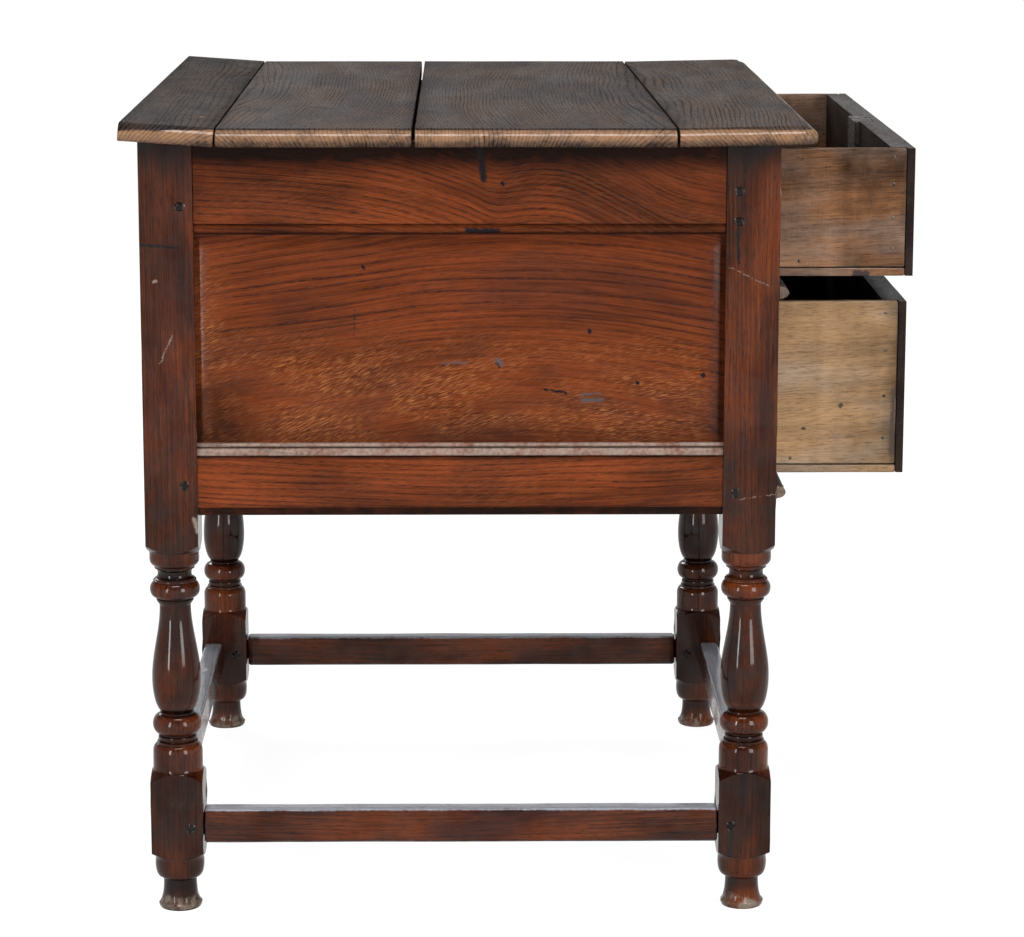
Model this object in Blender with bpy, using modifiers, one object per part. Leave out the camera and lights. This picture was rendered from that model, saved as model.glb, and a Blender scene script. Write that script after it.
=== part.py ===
"""Joined oak side table with two drawers, modelled as separate pieces.

Metres, +Z up, front towards -Y, left and right ends at -X and +X. The drawers
stand partly open. The origin lies on the floor, under the middle of the box
that the table and its open drawers fill.
"""

import math

import bmesh
import bpy
from mathutils import Matrix, Vector

# Overall frame
HEIGHT = 0.760
FRAME_WIDTH = 0.700
FRAME_DEPTH = 0.594
LEG = 0.050
FIT_GAP = 0.0003
OVERCUT = 0.050

# Top boards, listed from the back to the front; the last one takes what is left of the depth
TOP_THICKNESS = 0.017
TOP_OVERHANG_END = 0.056
TOP_OVERHANG_FRONT = 0.029
TOP_OVERHANG_BACK = 0.012
BOARD_WIDTHS = (0.0865, 0.178, 0.238)
BOARD_JOINTS = (0.0008, 0.0030, 0.0020)
BOARD_TAPER = 0.013
BACK_BOARD_LIFT = 4.0
FRONT_BOARD_LIFT = 1.1
THUMB_WIDTH = 0.011
THUMB_FILLET = 0.0016
THUMB_NOSE = 0.0060
THUMB_UNDERCUT = 0.003
CORNER_RADIUS_LEFT = 0.008
CORNER_RADIUS_RIGHT = 0.022

# Front of the case, from the top down
TOP_RAIL_THICKNESS = 0.009
DRAWER_SLACK = 0.0020
UPPER_DRAWER_HEIGHT = 0.121
MID_RAIL_THICKNESS = 0.020
LOWER_DRAWER_HEIGHT = 0.1655
FRONT_BOTTOM_RAIL_HEIGHT = 0.0285
FLAT_RAIL_INSET = 0.001
FLAT_RAIL_SHY = 0.004
FLAT_TENON_START = 0.010
FLAT_TENON_WIDTH = 0.018
FLAT_TENON_SHARE = 0.55
MOULDING_HEIGHT = 0.0125
MOULDING_DEPTH = 0.009

# Side and back frames
RAIL_THICKNESS = 0.022
RAIL_INSET = 0.0015
TENON_THICKNESS = 0.009
TENON_SHOULDER = 0.006
TENON_CLEAR = 0.003
SIDE_TOP_RAIL_HEIGHT = 0.087
SIDE_BOTTOM_RAIL_HEIGHT = 0.0687
BACK_TOP_RAIL_HEIGHT = 0.080
BACK_BOTTOM_RAIL_HEIGHT = 0.0687
OVOLO_HEIGHT = 0.0105
OVOLO_QUIRK = 0.0014
OVOLO_SOFFIT = 0.0010
SILL_HEIGHT = 0.0125
SILL_QUIRK = 0.0012
SILL_LEDGE = 0.0005
DRIP_HEIGHT = 0.008
DRIP_STEP = 0.0025
GROOVE_DEPTH = 0.008
PANEL_TONGUE = 0.006
PANEL_FIELD_RISE = 0.003
PANEL_BEVEL = 0.012

# Stretchers
STRETCHER_BOTTOM = 0.069
STRETCHER_HEIGHT = 0.034
STRETCHER_THICKNESS = 0.020
STRETCHER_INSET = 0.003
STRETCHER_TENON = 0.008

# Turned legs: the lower block holds the stretchers, and the vase fills what the other members leave
TURNING_STEPS = 16
FOOT_RADIUS = 0.0193
FOOT_FLARE_RADIUS = 0.0214
FOOT_FLARE_SHARE = 0.25
FOOT_NECK_RADIUS = 0.0162
FOOT_NECK_SHARE = 0.70
FOOT_COLLAR_HEIGHT = 0.0200
FOOT_SHOULDER = 0.0045
BLOCK_BELOW_STRETCHER = 0.0155
BLOCK_ABOVE_STRETCHER = 0.0350
BLOCK_SHOULDER = 0.0088
COLLAR_RADIUS = 0.0238
COLLAR_LIP = 0.0210
COLLAR_ROUND = 0.40
LOWER_COLLAR_HEIGHT = 0.0265
UPPER_COLLAR_HEIGHT = 0.0155
NECK_RADIUS = 0.0163
LOWER_NECK_HEIGHT = 0.0100
UPPER_NECK_HEIGHT = 0.0130
RING_RADIUS = 0.0237
RING_LIP = 0.0180
LOWER_RING_HEIGHT = 0.0230
UPPER_RING_HEIGHT = 0.0185
VASE_FOOT_RADIUS = 0.0157
VASE_BELLY_RADIUS = 0.0234
VASE_NECK_RADIUS = 0.0150
VASE_BELLY_SHARE = 0.288
VASE_LEAST_HEIGHT = 0.030
UPPER_BLOCK_DROP = 0.0370

# Drawers
UPPER_DRAWER_OPEN = 0.131
LOWER_DRAWER_OPEN = 0.126
DRAWER_END_ROOM = 0.0155
DRAWER_FRONT_THICKNESS = 0.022
DRAWER_LIP = 0.0075
DRAWER_SIDE_THICKNESS = 0.011
DRAWER_BOTTOM_THICKNESS = 0.008

# Runners that carry the drawers
RUNNER_SHY = 0.006
RUNNER_REACH = 0.025
RUNNER_HOUSING = 0.008
GUIDE_HEIGHT = 0.020

# Lock of the upper drawer
LOCK_WIDTH = 0.060
LOCK_HEIGHT = 0.042
LOCK_THICKNESS = 0.012
LOCK_PROUD = 0.005
SELVAGE_THICKNESS = 0.0025
SELVAGE_MARGIN = 0.008
BOLT_WIDTH = 0.018
BOLT_DEPTH = 0.005
BOLT_LENGTH = 0.022
KEYHOLE_RADIUS = 0.0035
KEYHOLE_SLOT = 0.0034
KEYHOLE_DROP = 0.010
ESCUTCHEON_WIDTH = 0.030
ESCUTCHEON_HEIGHT = 0.036
ESCUTCHEON_THICKNESS = 0.0012

# Drop pulls, two on each drawer
PULL_SPACING = 0.330
PLATE_RADIUS = 0.016
PLATE_EDGE = 0.0012
PLATE_DOME = 0.0035
PIN_RADIUS = 0.0012
PIN_LOOP = 0.0045
PIN_CLENCH = 0.013
PIN_BEND = 0.0010
DROP_CLEAR = 0.0043
DROP_RING_WIRE = 0.0011
DROP_RING_SLACK = 0.0008
DROP_LENGTH = 0.027
DROP_RADIUS = 0.0062
DROP_NECK_RADIUS = 0.0017
DROP_NECK_SHARE = 0.12
DROP_BELLY_SHARE = 0.68
DROP_FOOT_SHARE = 0.93
DROP_TIP_RADIUS = 0.0012

# Places that follow from the sizes above
FRAME_TOP = HEIGHT - TOP_THICKNESS - FIT_GAP
HALF_WIDTH = FRAME_WIDTH / 2
HALF_DEPTH = FRAME_DEPTH / 2
INNER_X = HALF_WIDTH - LEG
INNER_Y = HALF_DEPTH - LEG
UPPER_DRAWER_TOP = FRAME_TOP - TOP_RAIL_THICKNESS - DRAWER_SLACK
UPPER_DRAWER_BOTTOM = UPPER_DRAWER_TOP - UPPER_DRAWER_HEIGHT
MID_RAIL_TOP = UPPER_DRAWER_BOTTOM - DRAWER_SLACK
MID_RAIL_BOTTOM = MID_RAIL_TOP - MID_RAIL_THICKNESS
LOWER_DRAWER_TOP = MID_RAIL_BOTTOM - DRAWER_SLACK
LOWER_DRAWER_BOTTOM = LOWER_DRAWER_TOP - LOWER_DRAWER_HEIGHT
FRONT_BOTTOM_RAIL_TOP = LOWER_DRAWER_BOTTOM - DRAWER_SLACK
CASE_BOTTOM = FRONT_BOTTOM_RAIL_TOP - FRONT_BOTTOM_RAIL_HEIGHT
SIDE_TOP_RAIL_BOTTOM = FRAME_TOP - SIDE_TOP_RAIL_HEIGHT
SIDE_BOTTOM_RAIL_TOP = CASE_BOTTOM + SIDE_BOTTOM_RAIL_HEIGHT
BACK_TOP_RAIL_BOTTOM = FRAME_TOP - BACK_TOP_RAIL_HEIGHT
BACK_BOTTOM_RAIL_TOP = CASE_BOTTOM + BACK_BOTTOM_RAIL_HEIGHT
FLAT_RAIL_DEPTH = LEG - FLAT_RAIL_INSET - FLAT_RAIL_SHY
FLAT_RAILS = {"front_top_rail": (FRAME_TOP - TOP_RAIL_THICKNESS, FRAME_TOP),
              "front_mid_rail": (MID_RAIL_BOTTOM, MID_RAIL_TOP)}
STRETCHER_TOP = STRETCHER_BOTTOM + STRETCHER_HEIGHT
LOWER_BLOCK_BOTTOM = STRETCHER_BOTTOM - BLOCK_BELOW_STRETCHER
LOWER_BLOCK_TOP = STRETCHER_TOP + BLOCK_ABOVE_STRETCHER
UPPER_BLOCK_BOTTOM = CASE_BOTTOM - UPPER_BLOCK_DROP
RUNNER_THICKNESS = MID_RAIL_THICKNESS - RUNNER_SHY
RUNNER_OUTER_X = HALF_WIDTH - RAIL_INSET - RAIL_THICKNESS - FIT_GAP
RUNNER_TOPS = {"upper": UPPER_DRAWER_BOTTOM - FIT_GAP, "lower": LOWER_DRAWER_BOTTOM - FIT_GAP}
DRAWER_LENGTH = FRAME_DEPTH - RAIL_INSET - RAIL_THICKNESS - DRAWER_END_ROOM
LOCK_BOLT_Y = DRAWER_FRONT_THICKNESS + LOCK_PROUD - LOCK_THICKNESS / 2
GROOVE_NEAR = (RAIL_THICKNESS - PANEL_TONGUE) / 2
GROOVE_FAR = GROOVE_NEAR + PANEL_TONGUE
PIN_REACH = DROP_RADIUS + DROP_CLEAR
DROP_RING_RADIUS = PIN_RADIUS + DROP_RING_WIRE + FIT_GAP + DROP_RING_SLACK
PULL_PROJECTION = PIN_REACH + max(PIN_LOOP + PIN_RADIUS, DROP_RADIUS)
FRONT_REACH = HALF_DEPTH + max(UPPER_DRAWER_OPEN, LOWER_DRAWER_OPEN) + PULL_PROJECTION
BACK_TILT = math.radians(BACK_BOARD_LIFT)
BACK_REACH = (HALF_DEPTH + TOP_OVERHANG_BACK - BOARD_WIDTHS[0] * (1 - math.cos(BACK_TILT))
              + TOP_THICKNESS * math.sin(BACK_TILT))
ORIGIN_Y = (BACK_REACH - FRONT_REACH) / 2

ENDS = ((-1, "left"), (1, "right"))
ROWS = ((-1, "front"), (1, "back"))

# Finishes: name, colour, roughness and metallic value
OAK_CASE = ("oak_case", (0.155, 0.045, 0.020), 0.38, 0.0)
OAK_LEG = ("oak_leg", (0.072, 0.025, 0.014), 0.35, 0.0)
OAK_TOP = ("oak_top", (0.060, 0.042, 0.034), 0.45, 0.0)
OAK_DRAWER = ("oak_drawer", (0.270, 0.155, 0.075), 0.62, 0.0)
IRON = ("iron", (0.030, 0.028, 0.027), 0.55, 0.9)
BRASS = ("brass", (0.420, 0.270, 0.095), 0.35, 1.0)


# Scene helpers


def clear_scene():
    """Remove whatever the opened file holds."""
    for obj in list(bpy.data.objects):
        bpy.data.objects.remove(obj)


def new_collection(name, hidden=False):
    """A collection in the scene, kept out of renders when hidden."""
    collection = bpy.data.collections.new(name)
    collection.hide_render = hidden
    bpy.context.scene.collection.children.link(collection)
    return collection


def material(spec):
    """The Principled material of a finish."""
    name, colour, roughness, metallic = spec
    found = bpy.data.materials.get(name)
    if found:
        return found
    made = bpy.data.materials.new(name)
    made.use_nodes = True
    shader = made.node_tree.nodes["Principled BSDF"]
    shader.inputs["Base Color"].default_value = (*colour, 1.0)
    shader.inputs["Roughness"].default_value = roughness
    shader.inputs["Metallic"].default_value = metallic
    made.diffuse_color = (*colour, 1.0)
    return made


def piece(name, data, finish, parent, location=(0, 0, 0)):
    """One named part of the table."""
    data.materials.clear()
    data.materials.append(material(finish))
    obj = bpy.data.objects.new(name, data)
    obj.parent = parent
    obj.location = location
    PARTS.objects.link(obj)
    return obj


def cutter(name, mesh, parent, location=(0, 0, 0)):
    """A hidden shape that another piece is cut with, trimmed to or joined with."""
    obj = bpy.data.objects.new(name, mesh)
    obj.parent = parent
    obj.location = location
    obj.hide_render = True
    obj.display_type = "WIRE"
    CUTTERS.objects.link(obj)
    return obj


def boolean(obj, other, operation):
    """Cut obj with another object, trim it to it, or join the two."""
    modifier = obj.modifiers.new(f"{operation.lower()}_{other.name}", "BOOLEAN")
    modifier.operation = operation
    modifier.object = other
    modifier.solver = "EXACT"


def empty(name, location, parent=None):
    """A frame that other pieces hang on."""
    obj = bpy.data.objects.new(name, None)
    obj.location = location
    obj.parent = parent
    PARTS.objects.link(obj)
    return obj


# Mesh helpers


def finished(bm, name, smooth=False):
    """A mesh from a bmesh, with its faces turned outwards."""
    bmesh.ops.recalc_face_normals(bm, faces=bm.faces)
    mesh = bpy.data.meshes.new(name)
    bm.to_mesh(mesh)
    bm.free()
    if smooth:
        mesh.shade_smooth()
        mesh.set_sharp_from_angle(angle=math.radians(40))
    return mesh


def box(name, first, second):
    """The mesh of a box between two opposite corners, in any order."""
    low = Vector(map(min, first, second))
    high = Vector(map(max, first, second))
    place = Matrix.Translation((low + high) / 2) @ Matrix.Diagonal((*(high - low), 1.0))
    bm = bmesh.new()
    bmesh.ops.create_cube(bm, size=1.0, matrix=place)
    return finished(bm, name)


def evaluated_bmesh(helper):
    """The shape that a helper object's curve or modifiers make, welded; the helper goes."""
    bpy.context.scene.collection.objects.link(helper)
    graph = bpy.context.evaluated_depsgraph_get()
    drawn = bpy.data.meshes.new_from_object(helper.evaluated_get(graph))
    bpy.data.objects.remove(helper)
    bm = bmesh.new()
    bm.from_mesh(drawn)
    bpy.data.meshes.remove(drawn)
    bmesh.ops.remove_doubles(bm, verts=bm.verts, dist=1e-6)
    return bm


def prism(name, outline, low, high, turn):
    """A flat outline, filled and drawn out from low to high along its normal.

    turn maps the outline's own two axes and its normal to the table's axes.
    """
    curve = bpy.data.curves.new(name, "CURVE")
    curve.dimensions = "2D"
    curve.fill_mode = "BOTH"
    curve.extrude = (high - low) / 2
    spline = curve.splines.new("POLY")
    spline.points.add(len(outline) - 1)
    for point, (u, v) in zip(spline.points, outline):
        point.co = (u, v, 0.0, 1.0)
    spline.use_cyclic_u = True
    bm = evaluated_bmesh(bpy.data.objects.new(name, curve))
    bmesh.ops.translate(bm, verts=bm.verts, vec=(0, 0, (low + high) / 2))
    bmesh.ops.transform(bm, verts=bm.verts, matrix=turn)
    return finished(bm, name)


def axes(u, v, w):
    """The matrix that sends an outline's axes u, v and its normal w to these directions."""
    return Matrix((u, v, w)).transposed().to_4x4()


def arc(centre, radii, start, end, count):
    """Points along an ellipse's arc, angles in degrees, both ends included."""
    points = []
    for step in range(count + 1):
        angle = math.radians(start + (end - start) * step / count)
        points.append((centre[0] + radii[0] * math.cos(angle), centre[1] + radii[1] * math.sin(angle)))
    return points


def closed_ring(centre, radii, count):
    """Points round a whole ellipse, the first one not repeated."""
    return arc(centre, radii, 0, 360, count)[:-1]


def profile_mesh(name, profile):
    """A line of (radius, height) points that run from the top down, ready to be turned."""
    bm = bmesh.new()
    previous = None
    for radius, height in profile:
        vertex = bm.verts.new((radius, 0.0, height))
        if previous:
            bm.edges.new((previous, vertex))
        previous = vertex
    mesh = bpy.data.meshes.new(name)
    bm.to_mesh(mesh)
    bm.free()
    return mesh


def turn_about_z(obj, steps):
    """Turn an object's profile about its own Z axis."""
    screw = obj.modifiers.new("turning", "SCREW")
    screw.steps = steps
    screw.render_steps = steps
    screw.use_merge_vertices = True
    screw.merge_threshold = 0.00001


def turned_mesh(name, profile, steps):
    """The finished mesh of a turned shape."""
    helper = bpy.data.objects.new(name, profile_mesh(name, profile))
    turn_about_z(helper, steps)
    return finished(evaluated_bmesh(helper), name, smooth=True)


def swell(top, bottom, count):
    """Turned points that ease from one (radius, height) to another, the first one left out."""
    points = []
    for step in range(1, count + 1):
        share = step / count
        ease = (1 - math.cos(math.pi * share)) / 2
        points.append((top[0] + (bottom[0] - top[0]) * ease, top[1] + (bottom[1] - top[1]) * share))
    return points


def round_under(top, bottom, count):
    """Turned points of a quarter ellipse from a belly down to a narrow foot, the first one left out."""
    centre = (bottom[0], top[1])
    return arc(centre, (top[0] - bottom[0], bottom[1] - top[1]), 0, 90, count)[1:]


# Legs


def bead(low, high, lip, belly):
    """A round turned member, from its upper lip to its lower one."""
    return arc((lip, (low + high) / 2), (belly - lip, (high - low) / 2), 90, -90, 6)


def hollow(low, high, throat):
    """A turned neck between two wider members, narrowest half way down, its ends left out."""
    return arc((RING_LIP, (low + high) / 2), (throat - RING_LIP, (high - low) / 2), 90, -90, 4)[1:-1]


def leg_profile():
    """The turned leg from its top down; the square blocks stay wider than their corners."""
    edge, spring = LEG / 2, LEG / math.sqrt(2)
    blank = spring + (spring - edge) * COLLAR_ROUND
    lift = BLOCK_SHOULDER * (blank - edge) / (spring - edge)
    foot_lift = FOOT_SHOULDER * (blank - edge) / (spring - edge)
    step = edge - COLLAR_RADIUS
    members = (UPPER_COLLAR_HEIGHT + UPPER_NECK_HEIGHT + UPPER_RING_HEIGHT
               + LOWER_RING_HEIGHT + LOWER_NECK_HEIGHT + LOWER_COLLAR_HEIGHT)
    squeeze = min(1.0, (UPPER_BLOCK_BOTTOM - LOWER_BLOCK_TOP) / (members + VASE_LEAST_HEIGHT))
    collar_low = UPPER_BLOCK_BOTTOM - UPPER_COLLAR_HEIGHT * squeeze
    ring_high = collar_low - UPPER_NECK_HEIGHT * squeeze
    ring_low = ring_high - UPPER_RING_HEIGHT * squeeze
    lower_collar_top = LOWER_BLOCK_TOP + LOWER_COLLAR_HEIGHT * squeeze
    lower_ring_low = lower_collar_top + LOWER_NECK_HEIGHT * squeeze
    lower_ring_high = lower_ring_low + LOWER_RING_HEIGHT * squeeze
    belly = lower_ring_high + (ring_low - lower_ring_high) * VASE_BELLY_SHARE
    foot_collar_low = LOWER_BLOCK_BOTTOM - FOOT_COLLAR_HEIGHT
    neck, flare = foot_collar_low * FOOT_NECK_SHARE, foot_collar_low * FOOT_FLARE_SHARE

    points = [(0.0, FRAME_TOP + OVERCUT), (blank, FRAME_TOP + OVERCUT)]
    points += [(blank, UPPER_BLOCK_BOTTOM + lift), (edge, UPPER_BLOCK_BOTTOM)]
    points += collar(UPPER_BLOCK_BOTTOM - step, collar_low)
    points += hollow(ring_high, collar_low, NECK_RADIUS)
    points += bead(ring_low, ring_high, RING_LIP, RING_RADIUS)
    points += [(VASE_NECK_RADIUS, ring_low)]
    points += swell((VASE_NECK_RADIUS, ring_low), (VASE_BELLY_RADIUS, belly), 6)
    points += round_under((VASE_BELLY_RADIUS, belly), (VASE_FOOT_RADIUS, lower_ring_high), 4)
    points += bead(lower_ring_low, lower_ring_high, RING_LIP, RING_RADIUS)
    points += hollow(lower_collar_top, lower_ring_low, NECK_RADIUS)
    points += collar(LOWER_BLOCK_TOP + step, lower_collar_top)[::-1]
    points += [(edge, LOWER_BLOCK_TOP), (blank, LOWER_BLOCK_TOP - lift)]
    points += [(blank, LOWER_BLOCK_BOTTOM + foot_lift), (edge, LOWER_BLOCK_BOTTOM)]
    points += collar(LOWER_BLOCK_BOTTOM - step, foot_collar_low)
    points += [(FOOT_NECK_RADIUS, (neck + foot_collar_low) / 2), (FOOT_NECK_RADIUS, neck)]
    points += [((FOOT_NECK_RADIUS + FOOT_FLARE_RADIUS) / 2, (neck + flare) / 2)]
    points += [(FOOT_FLARE_RADIUS, flare), (FOOT_RADIUS, 0.0), (0.0, 0.0)]
    return points


def collar(block, lip):
    """A drum below or above a square block, rounded over to its lip, from the block's side."""
    return [(COLLAR_RADIUS, block), (COLLAR_RADIUS, lip + (block - lip) * COLLAR_ROUND), (COLLAR_LIP, lip)]


def tenon_span(inset, thickness, tenon):
    """How far in from a leg's outer face a member's tenon starts and ends."""
    start = inset + (thickness - tenon) / 2
    return start, start + tenon


def tenon_length(inset, thickness, tenon):
    """How deep a tenon goes into a leg, stopping clear of the one that crosses it."""
    return LEG - tenon_span(inset, thickness, tenon)[1] - TENON_CLEAR


RAIL_TENON_SPAN = tenon_span(RAIL_INSET, RAIL_THICKNESS, TENON_THICKNESS)
RAIL_TENON_LENGTH = tenon_length(RAIL_INSET, RAIL_THICKNESS, TENON_THICKNESS)
STRETCHER_TENON_SPAN = tenon_span(STRETCHER_INSET, STRETCHER_THICKNESS, STRETCHER_TENON)
STRETCHER_TENON_LENGTH = tenon_length(STRETCHER_INSET, STRETCHER_THICKNESS, STRETCHER_TENON)
FLAT_TENON_SPAN = (FLAT_RAIL_INSET + FLAT_TENON_START, FLAT_RAIL_INSET + FLAT_TENON_START + FLAT_TENON_WIDTH)
PANEL_SPAN = (RAIL_INSET + GROOVE_NEAR, RAIL_INSET + GROOVE_FAR)
STRETCHER_TENON_HEIGHTS = (STRETCHER_BOTTOM + TENON_SHOULDER, STRETCHER_TOP - TENON_SHOULDER)
FRONT_BOTTOM_TENON_HEIGHTS = (CASE_BOTTOM + TENON_SHOULDER, FRONT_BOTTOM_RAIL_TOP - TENON_SHOULDER)


def rail_tenon_heights(bottom, top):
    """Where a rail's tenon starts and ends, clear of its grooved and moulded edges."""
    return bottom + GROOVE_DEPTH + TENON_SHOULDER, top - GROOVE_DEPTH - TENON_SHOULDER


def flat_tenon_heights(bottom, top):
    """Where the tenon of a rail that lies flat starts and ends."""
    spare = (top - bottom) * (1 - FLAT_TENON_SHARE) / 2
    return bottom + spare, top - spare


def loose(span):
    """A span widened by the fitting gap at both ends."""
    return span[0] - FIT_GAP, span[1] + FIT_GAP


def inward(depth):
    """The span that a socket of this depth takes, measured in from a leg's outer face."""
    return LEG - depth - FIT_GAP, LEG + FIT_GAP


def side_sockets():
    """Sockets for the end frame, the runners and the stretchers, which every leg has.

    Each is three spans: in from the leg's end face (X), in from its front or
    back face (Y), and in height.
    """
    across = inward(RAIL_TENON_LENGTH)
    low_across = inward(STRETCHER_TENON_LENGTH)
    panel_heights = (SIDE_BOTTOM_RAIL_TOP - GROOVE_DEPTH, SIDE_TOP_RAIL_BOTTOM + GROOVE_DEPTH)
    sockets = [
        (RAIL_TENON_SPAN, across, rail_tenon_heights(SIDE_TOP_RAIL_BOTTOM, FRAME_TOP)),
        (RAIL_TENON_SPAN, across, rail_tenon_heights(CASE_BOTTOM, SIDE_BOTTOM_RAIL_TOP)),
        (PANEL_SPAN, inward(GROOVE_DEPTH), panel_heights),
        (STRETCHER_TENON_SPAN, low_across, STRETCHER_TENON_HEIGHTS),
        (low_across, STRETCHER_TENON_SPAN, STRETCHER_TENON_HEIGHTS),
    ]
    for top in RUNNER_TOPS.values():
        runner = (HALF_WIDTH - RUNNER_OUTER_X, LEG + FIT_GAP)
        sockets.append((runner, inward(RUNNER_HOUSING), (top - RUNNER_THICKNESS, top + GUIDE_HEIGHT)))
    return sockets


def back_sockets():
    """Sockets for the back frame, in the back legs."""
    across = inward(RAIL_TENON_LENGTH)
    panel_heights = (BACK_BOTTOM_RAIL_TOP - GROOVE_DEPTH, BACK_TOP_RAIL_BOTTOM + GROOVE_DEPTH)
    return [
        (across, RAIL_TENON_SPAN, rail_tenon_heights(BACK_TOP_RAIL_BOTTOM, FRAME_TOP)),
        (across, RAIL_TENON_SPAN, rail_tenon_heights(CASE_BOTTOM, BACK_BOTTOM_RAIL_TOP)),
        (inward(GROOVE_DEPTH), PANEL_SPAN, panel_heights),
    ]


def front_sockets():
    """Sockets for the rails round the drawers, in the front legs."""
    across = inward(RAIL_TENON_LENGTH)
    sockets = [(across, FLAT_TENON_SPAN, flat_tenon_heights(*heights)) for heights in FLAT_RAILS.values()]
    return [*sockets, (across, RAIL_TENON_SPAN, FRONT_BOTTOM_TENON_HEIGHTS)]


def build_legs(table):
    """Four legs: a square post trimmed to one turned shape, then mortised."""
    turning = profile_mesh("leg_turning", leg_profile())
    half = LEG / 2
    for sy, row in ROWS:
        sockets = side_sockets() + (back_sockets() if sy > 0 else front_sockets())
        for sx, end in ENDS:
            name = f"leg_{row}_{end}"
            centre = (sx * (HALF_WIDTH - half), sy * (HALF_DEPTH - half), 0.0)
            post = box(name, (-half, -half, -OVERCUT), (half, half, FRAME_TOP))
            leg = piece(name, post, OAK_LEG, table, centre)
            blank = cutter(f"{name}_turning", turning, table, centre)
            turn_about_z(blank, TURNING_STEPS)
            boolean(leg, blank, "INTERSECT")
            for number, spans in enumerate(sockets):
                (x0, x1), (y0, y1), (z0, z1) = map(loose, spans)
                socket = box(f"{name}_socket_{number}", (sx * (half - x0), sy * (half - y0), z0),
                             (sx * (half - x1), sy * (half - y1), z1))
                boolean(leg, cutter(socket.name, socket, table, centre), "DIFFERENCE")


# Side and back frames: rails with tenons, and panels in grooves


def groove_points(edge, depth):
    """The panel groove in a rail's edge, from its outer wall to its inner one."""
    near, far = loose((GROOVE_NEAR, GROOVE_FAR))
    return [(near, edge), (near, edge + depth), (far, edge + depth), (far, edge)]


def top_rail_outline(bottom, moulded):
    """Section of a rail above a panel: u runs in from the outer face, v is the height."""
    points = [(RAIL_THICKNESS, FRAME_TOP), (0.0, FRAME_TOP)]
    if moulded:
        depth = GROOVE_NEAR - FIT_GAP - OVOLO_SOFFIT
        springing = bottom + OVOLO_HEIGHT
        points += [(0.0, springing), (OVOLO_QUIRK, springing)]
        radii = (depth - OVOLO_QUIRK, OVOLO_HEIGHT - OVOLO_QUIRK)
        points += arc((depth, springing - OVOLO_QUIRK), radii, 180, 270, 5)
    else:
        points += [(0.0, bottom)]
    return [*points, *groove_points(bottom, GROOVE_DEPTH), (RAIL_THICKNESS, bottom)]


def bottom_rail_outline(top, moulded):
    """Section of a rail below a panel, with its hollow sill and the drip bead at its foot."""
    points = [(RAIL_THICKNESS, top), *groove_points(top, -GROOVE_DEPTH)[::-1]]
    if moulded:
        depth = GROOVE_NEAR - FIT_GAP - SILL_LEDGE
        drip, bead_radius = CASE_BOTTOM + DRIP_HEIGHT, DRIP_HEIGHT / 2
        points += arc((SILL_QUIRK, top), (depth - SILL_QUIRK, SILL_HEIGHT - SILL_QUIRK), 0, -90, 4)
        points += [(SILL_QUIRK, top - SILL_HEIGHT), (0.0, top - SILL_HEIGHT), (0.0, drip), (DRIP_STEP, drip)]
        bead_centre = (DRIP_STEP + bead_radius, CASE_BOTTOM + bead_radius)
        points += arc(bead_centre, (bead_radius, bead_radius), 150, 270, 4)
    else:
        points += [(0.0, top), (0.0, CASE_BOTTOM)]
    return [*points, (RAIL_THICKNESS, CASE_BOTTOM)]


def rail(name, outline, span, tenon_heights, turn, place, finish, table):
    """A rail between two legs, joined to the longer bar that makes its tenons.

    span is half the clear distance between the legs, turn the directions of the
    section, and place the section's origin.
    """
    made = piece(name, prism(name, outline, -span, span, turn), finish, table, place)
    near, far = tenon_span(0.0, RAIL_THICKNESS, TENON_THICKNESS)
    low, high = tenon_heights
    reach = span + RAIL_TENON_LENGTH
    bar = prism(f"{name}_tenon", [(near, low), (far, low), (far, high), (near, high)], -reach, reach, turn)
    boolean(made, cutter(bar.name, bar, table, place), "UNION")


def panel(name, half_length, bottom, top, turn, place, table):
    """A flat panel whose edges sit in the grooves of the frame round it."""
    hidden = GROOVE_DEPTH - FIT_GAP
    low, high, length = bottom - hidden, top + hidden, half_length + hidden
    outline = [(-length, low), (length, low), (length, high), (-length, high)]
    return piece(name, prism(name, outline, -PANEL_SPAN[1], -PANEL_SPAN[0], turn), OAK_CASE, table, place)


def field_panel(board, outward):
    """Raise the middle of a panel's outer face, with sloping margins inside the frame."""
    bm = bmesh.new()
    bm.from_mesh(board.data)
    bmesh.ops.dissolve_limit(bm, angle_limit=math.radians(1), verts=bm.verts, edges=bm.edges)
    bm.normal_update()
    face = max(bm.faces, key=lambda f: f.normal.dot(outward) * f.calc_area())
    for thickness, depth in ((GROOVE_DEPTH, 0.0), (PANEL_BEVEL, PANEL_FIELD_RISE)):
        bmesh.ops.inset_region(bm, faces=[face], thickness=thickness, depth=depth, use_even_offset=True)
    bm.to_mesh(board.data)
    bm.free()


def build_sides(table):
    """Both end frames: a moulded top and bottom rail with a fielded panel between."""
    up, span = Vector((0, 0, 1)), INNER_Y - FIT_GAP
    for sx, end in ENDS:
        outward, along = Vector((sx, 0, 0)), Vector((0, sx, 0))
        section = axes(-outward, up, along)
        place = (sx * (HALF_WIDTH - RAIL_INSET), 0.0, 0.0)
        rail(f"side_top_rail_{end}", top_rail_outline(SIDE_TOP_RAIL_BOTTOM, True), span,
             rail_tenon_heights(SIDE_TOP_RAIL_BOTTOM, FRAME_TOP), section, place, OAK_CASE, table)
        rail(f"side_bottom_rail_{end}", bottom_rail_outline(SIDE_BOTTOM_RAIL_TOP, True), span,
             rail_tenon_heights(CASE_BOTTOM, SIDE_BOTTOM_RAIL_TOP), section, place, OAK_CASE, table)
        board = panel(f"side_panel_{end}", INNER_Y, SIDE_BOTTOM_RAIL_TOP, SIDE_TOP_RAIL_BOTTOM,
                      axes(along, up, outward), (sx * HALF_WIDTH, 0.0, 0.0), table)
        field_panel(board, outward)


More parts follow.
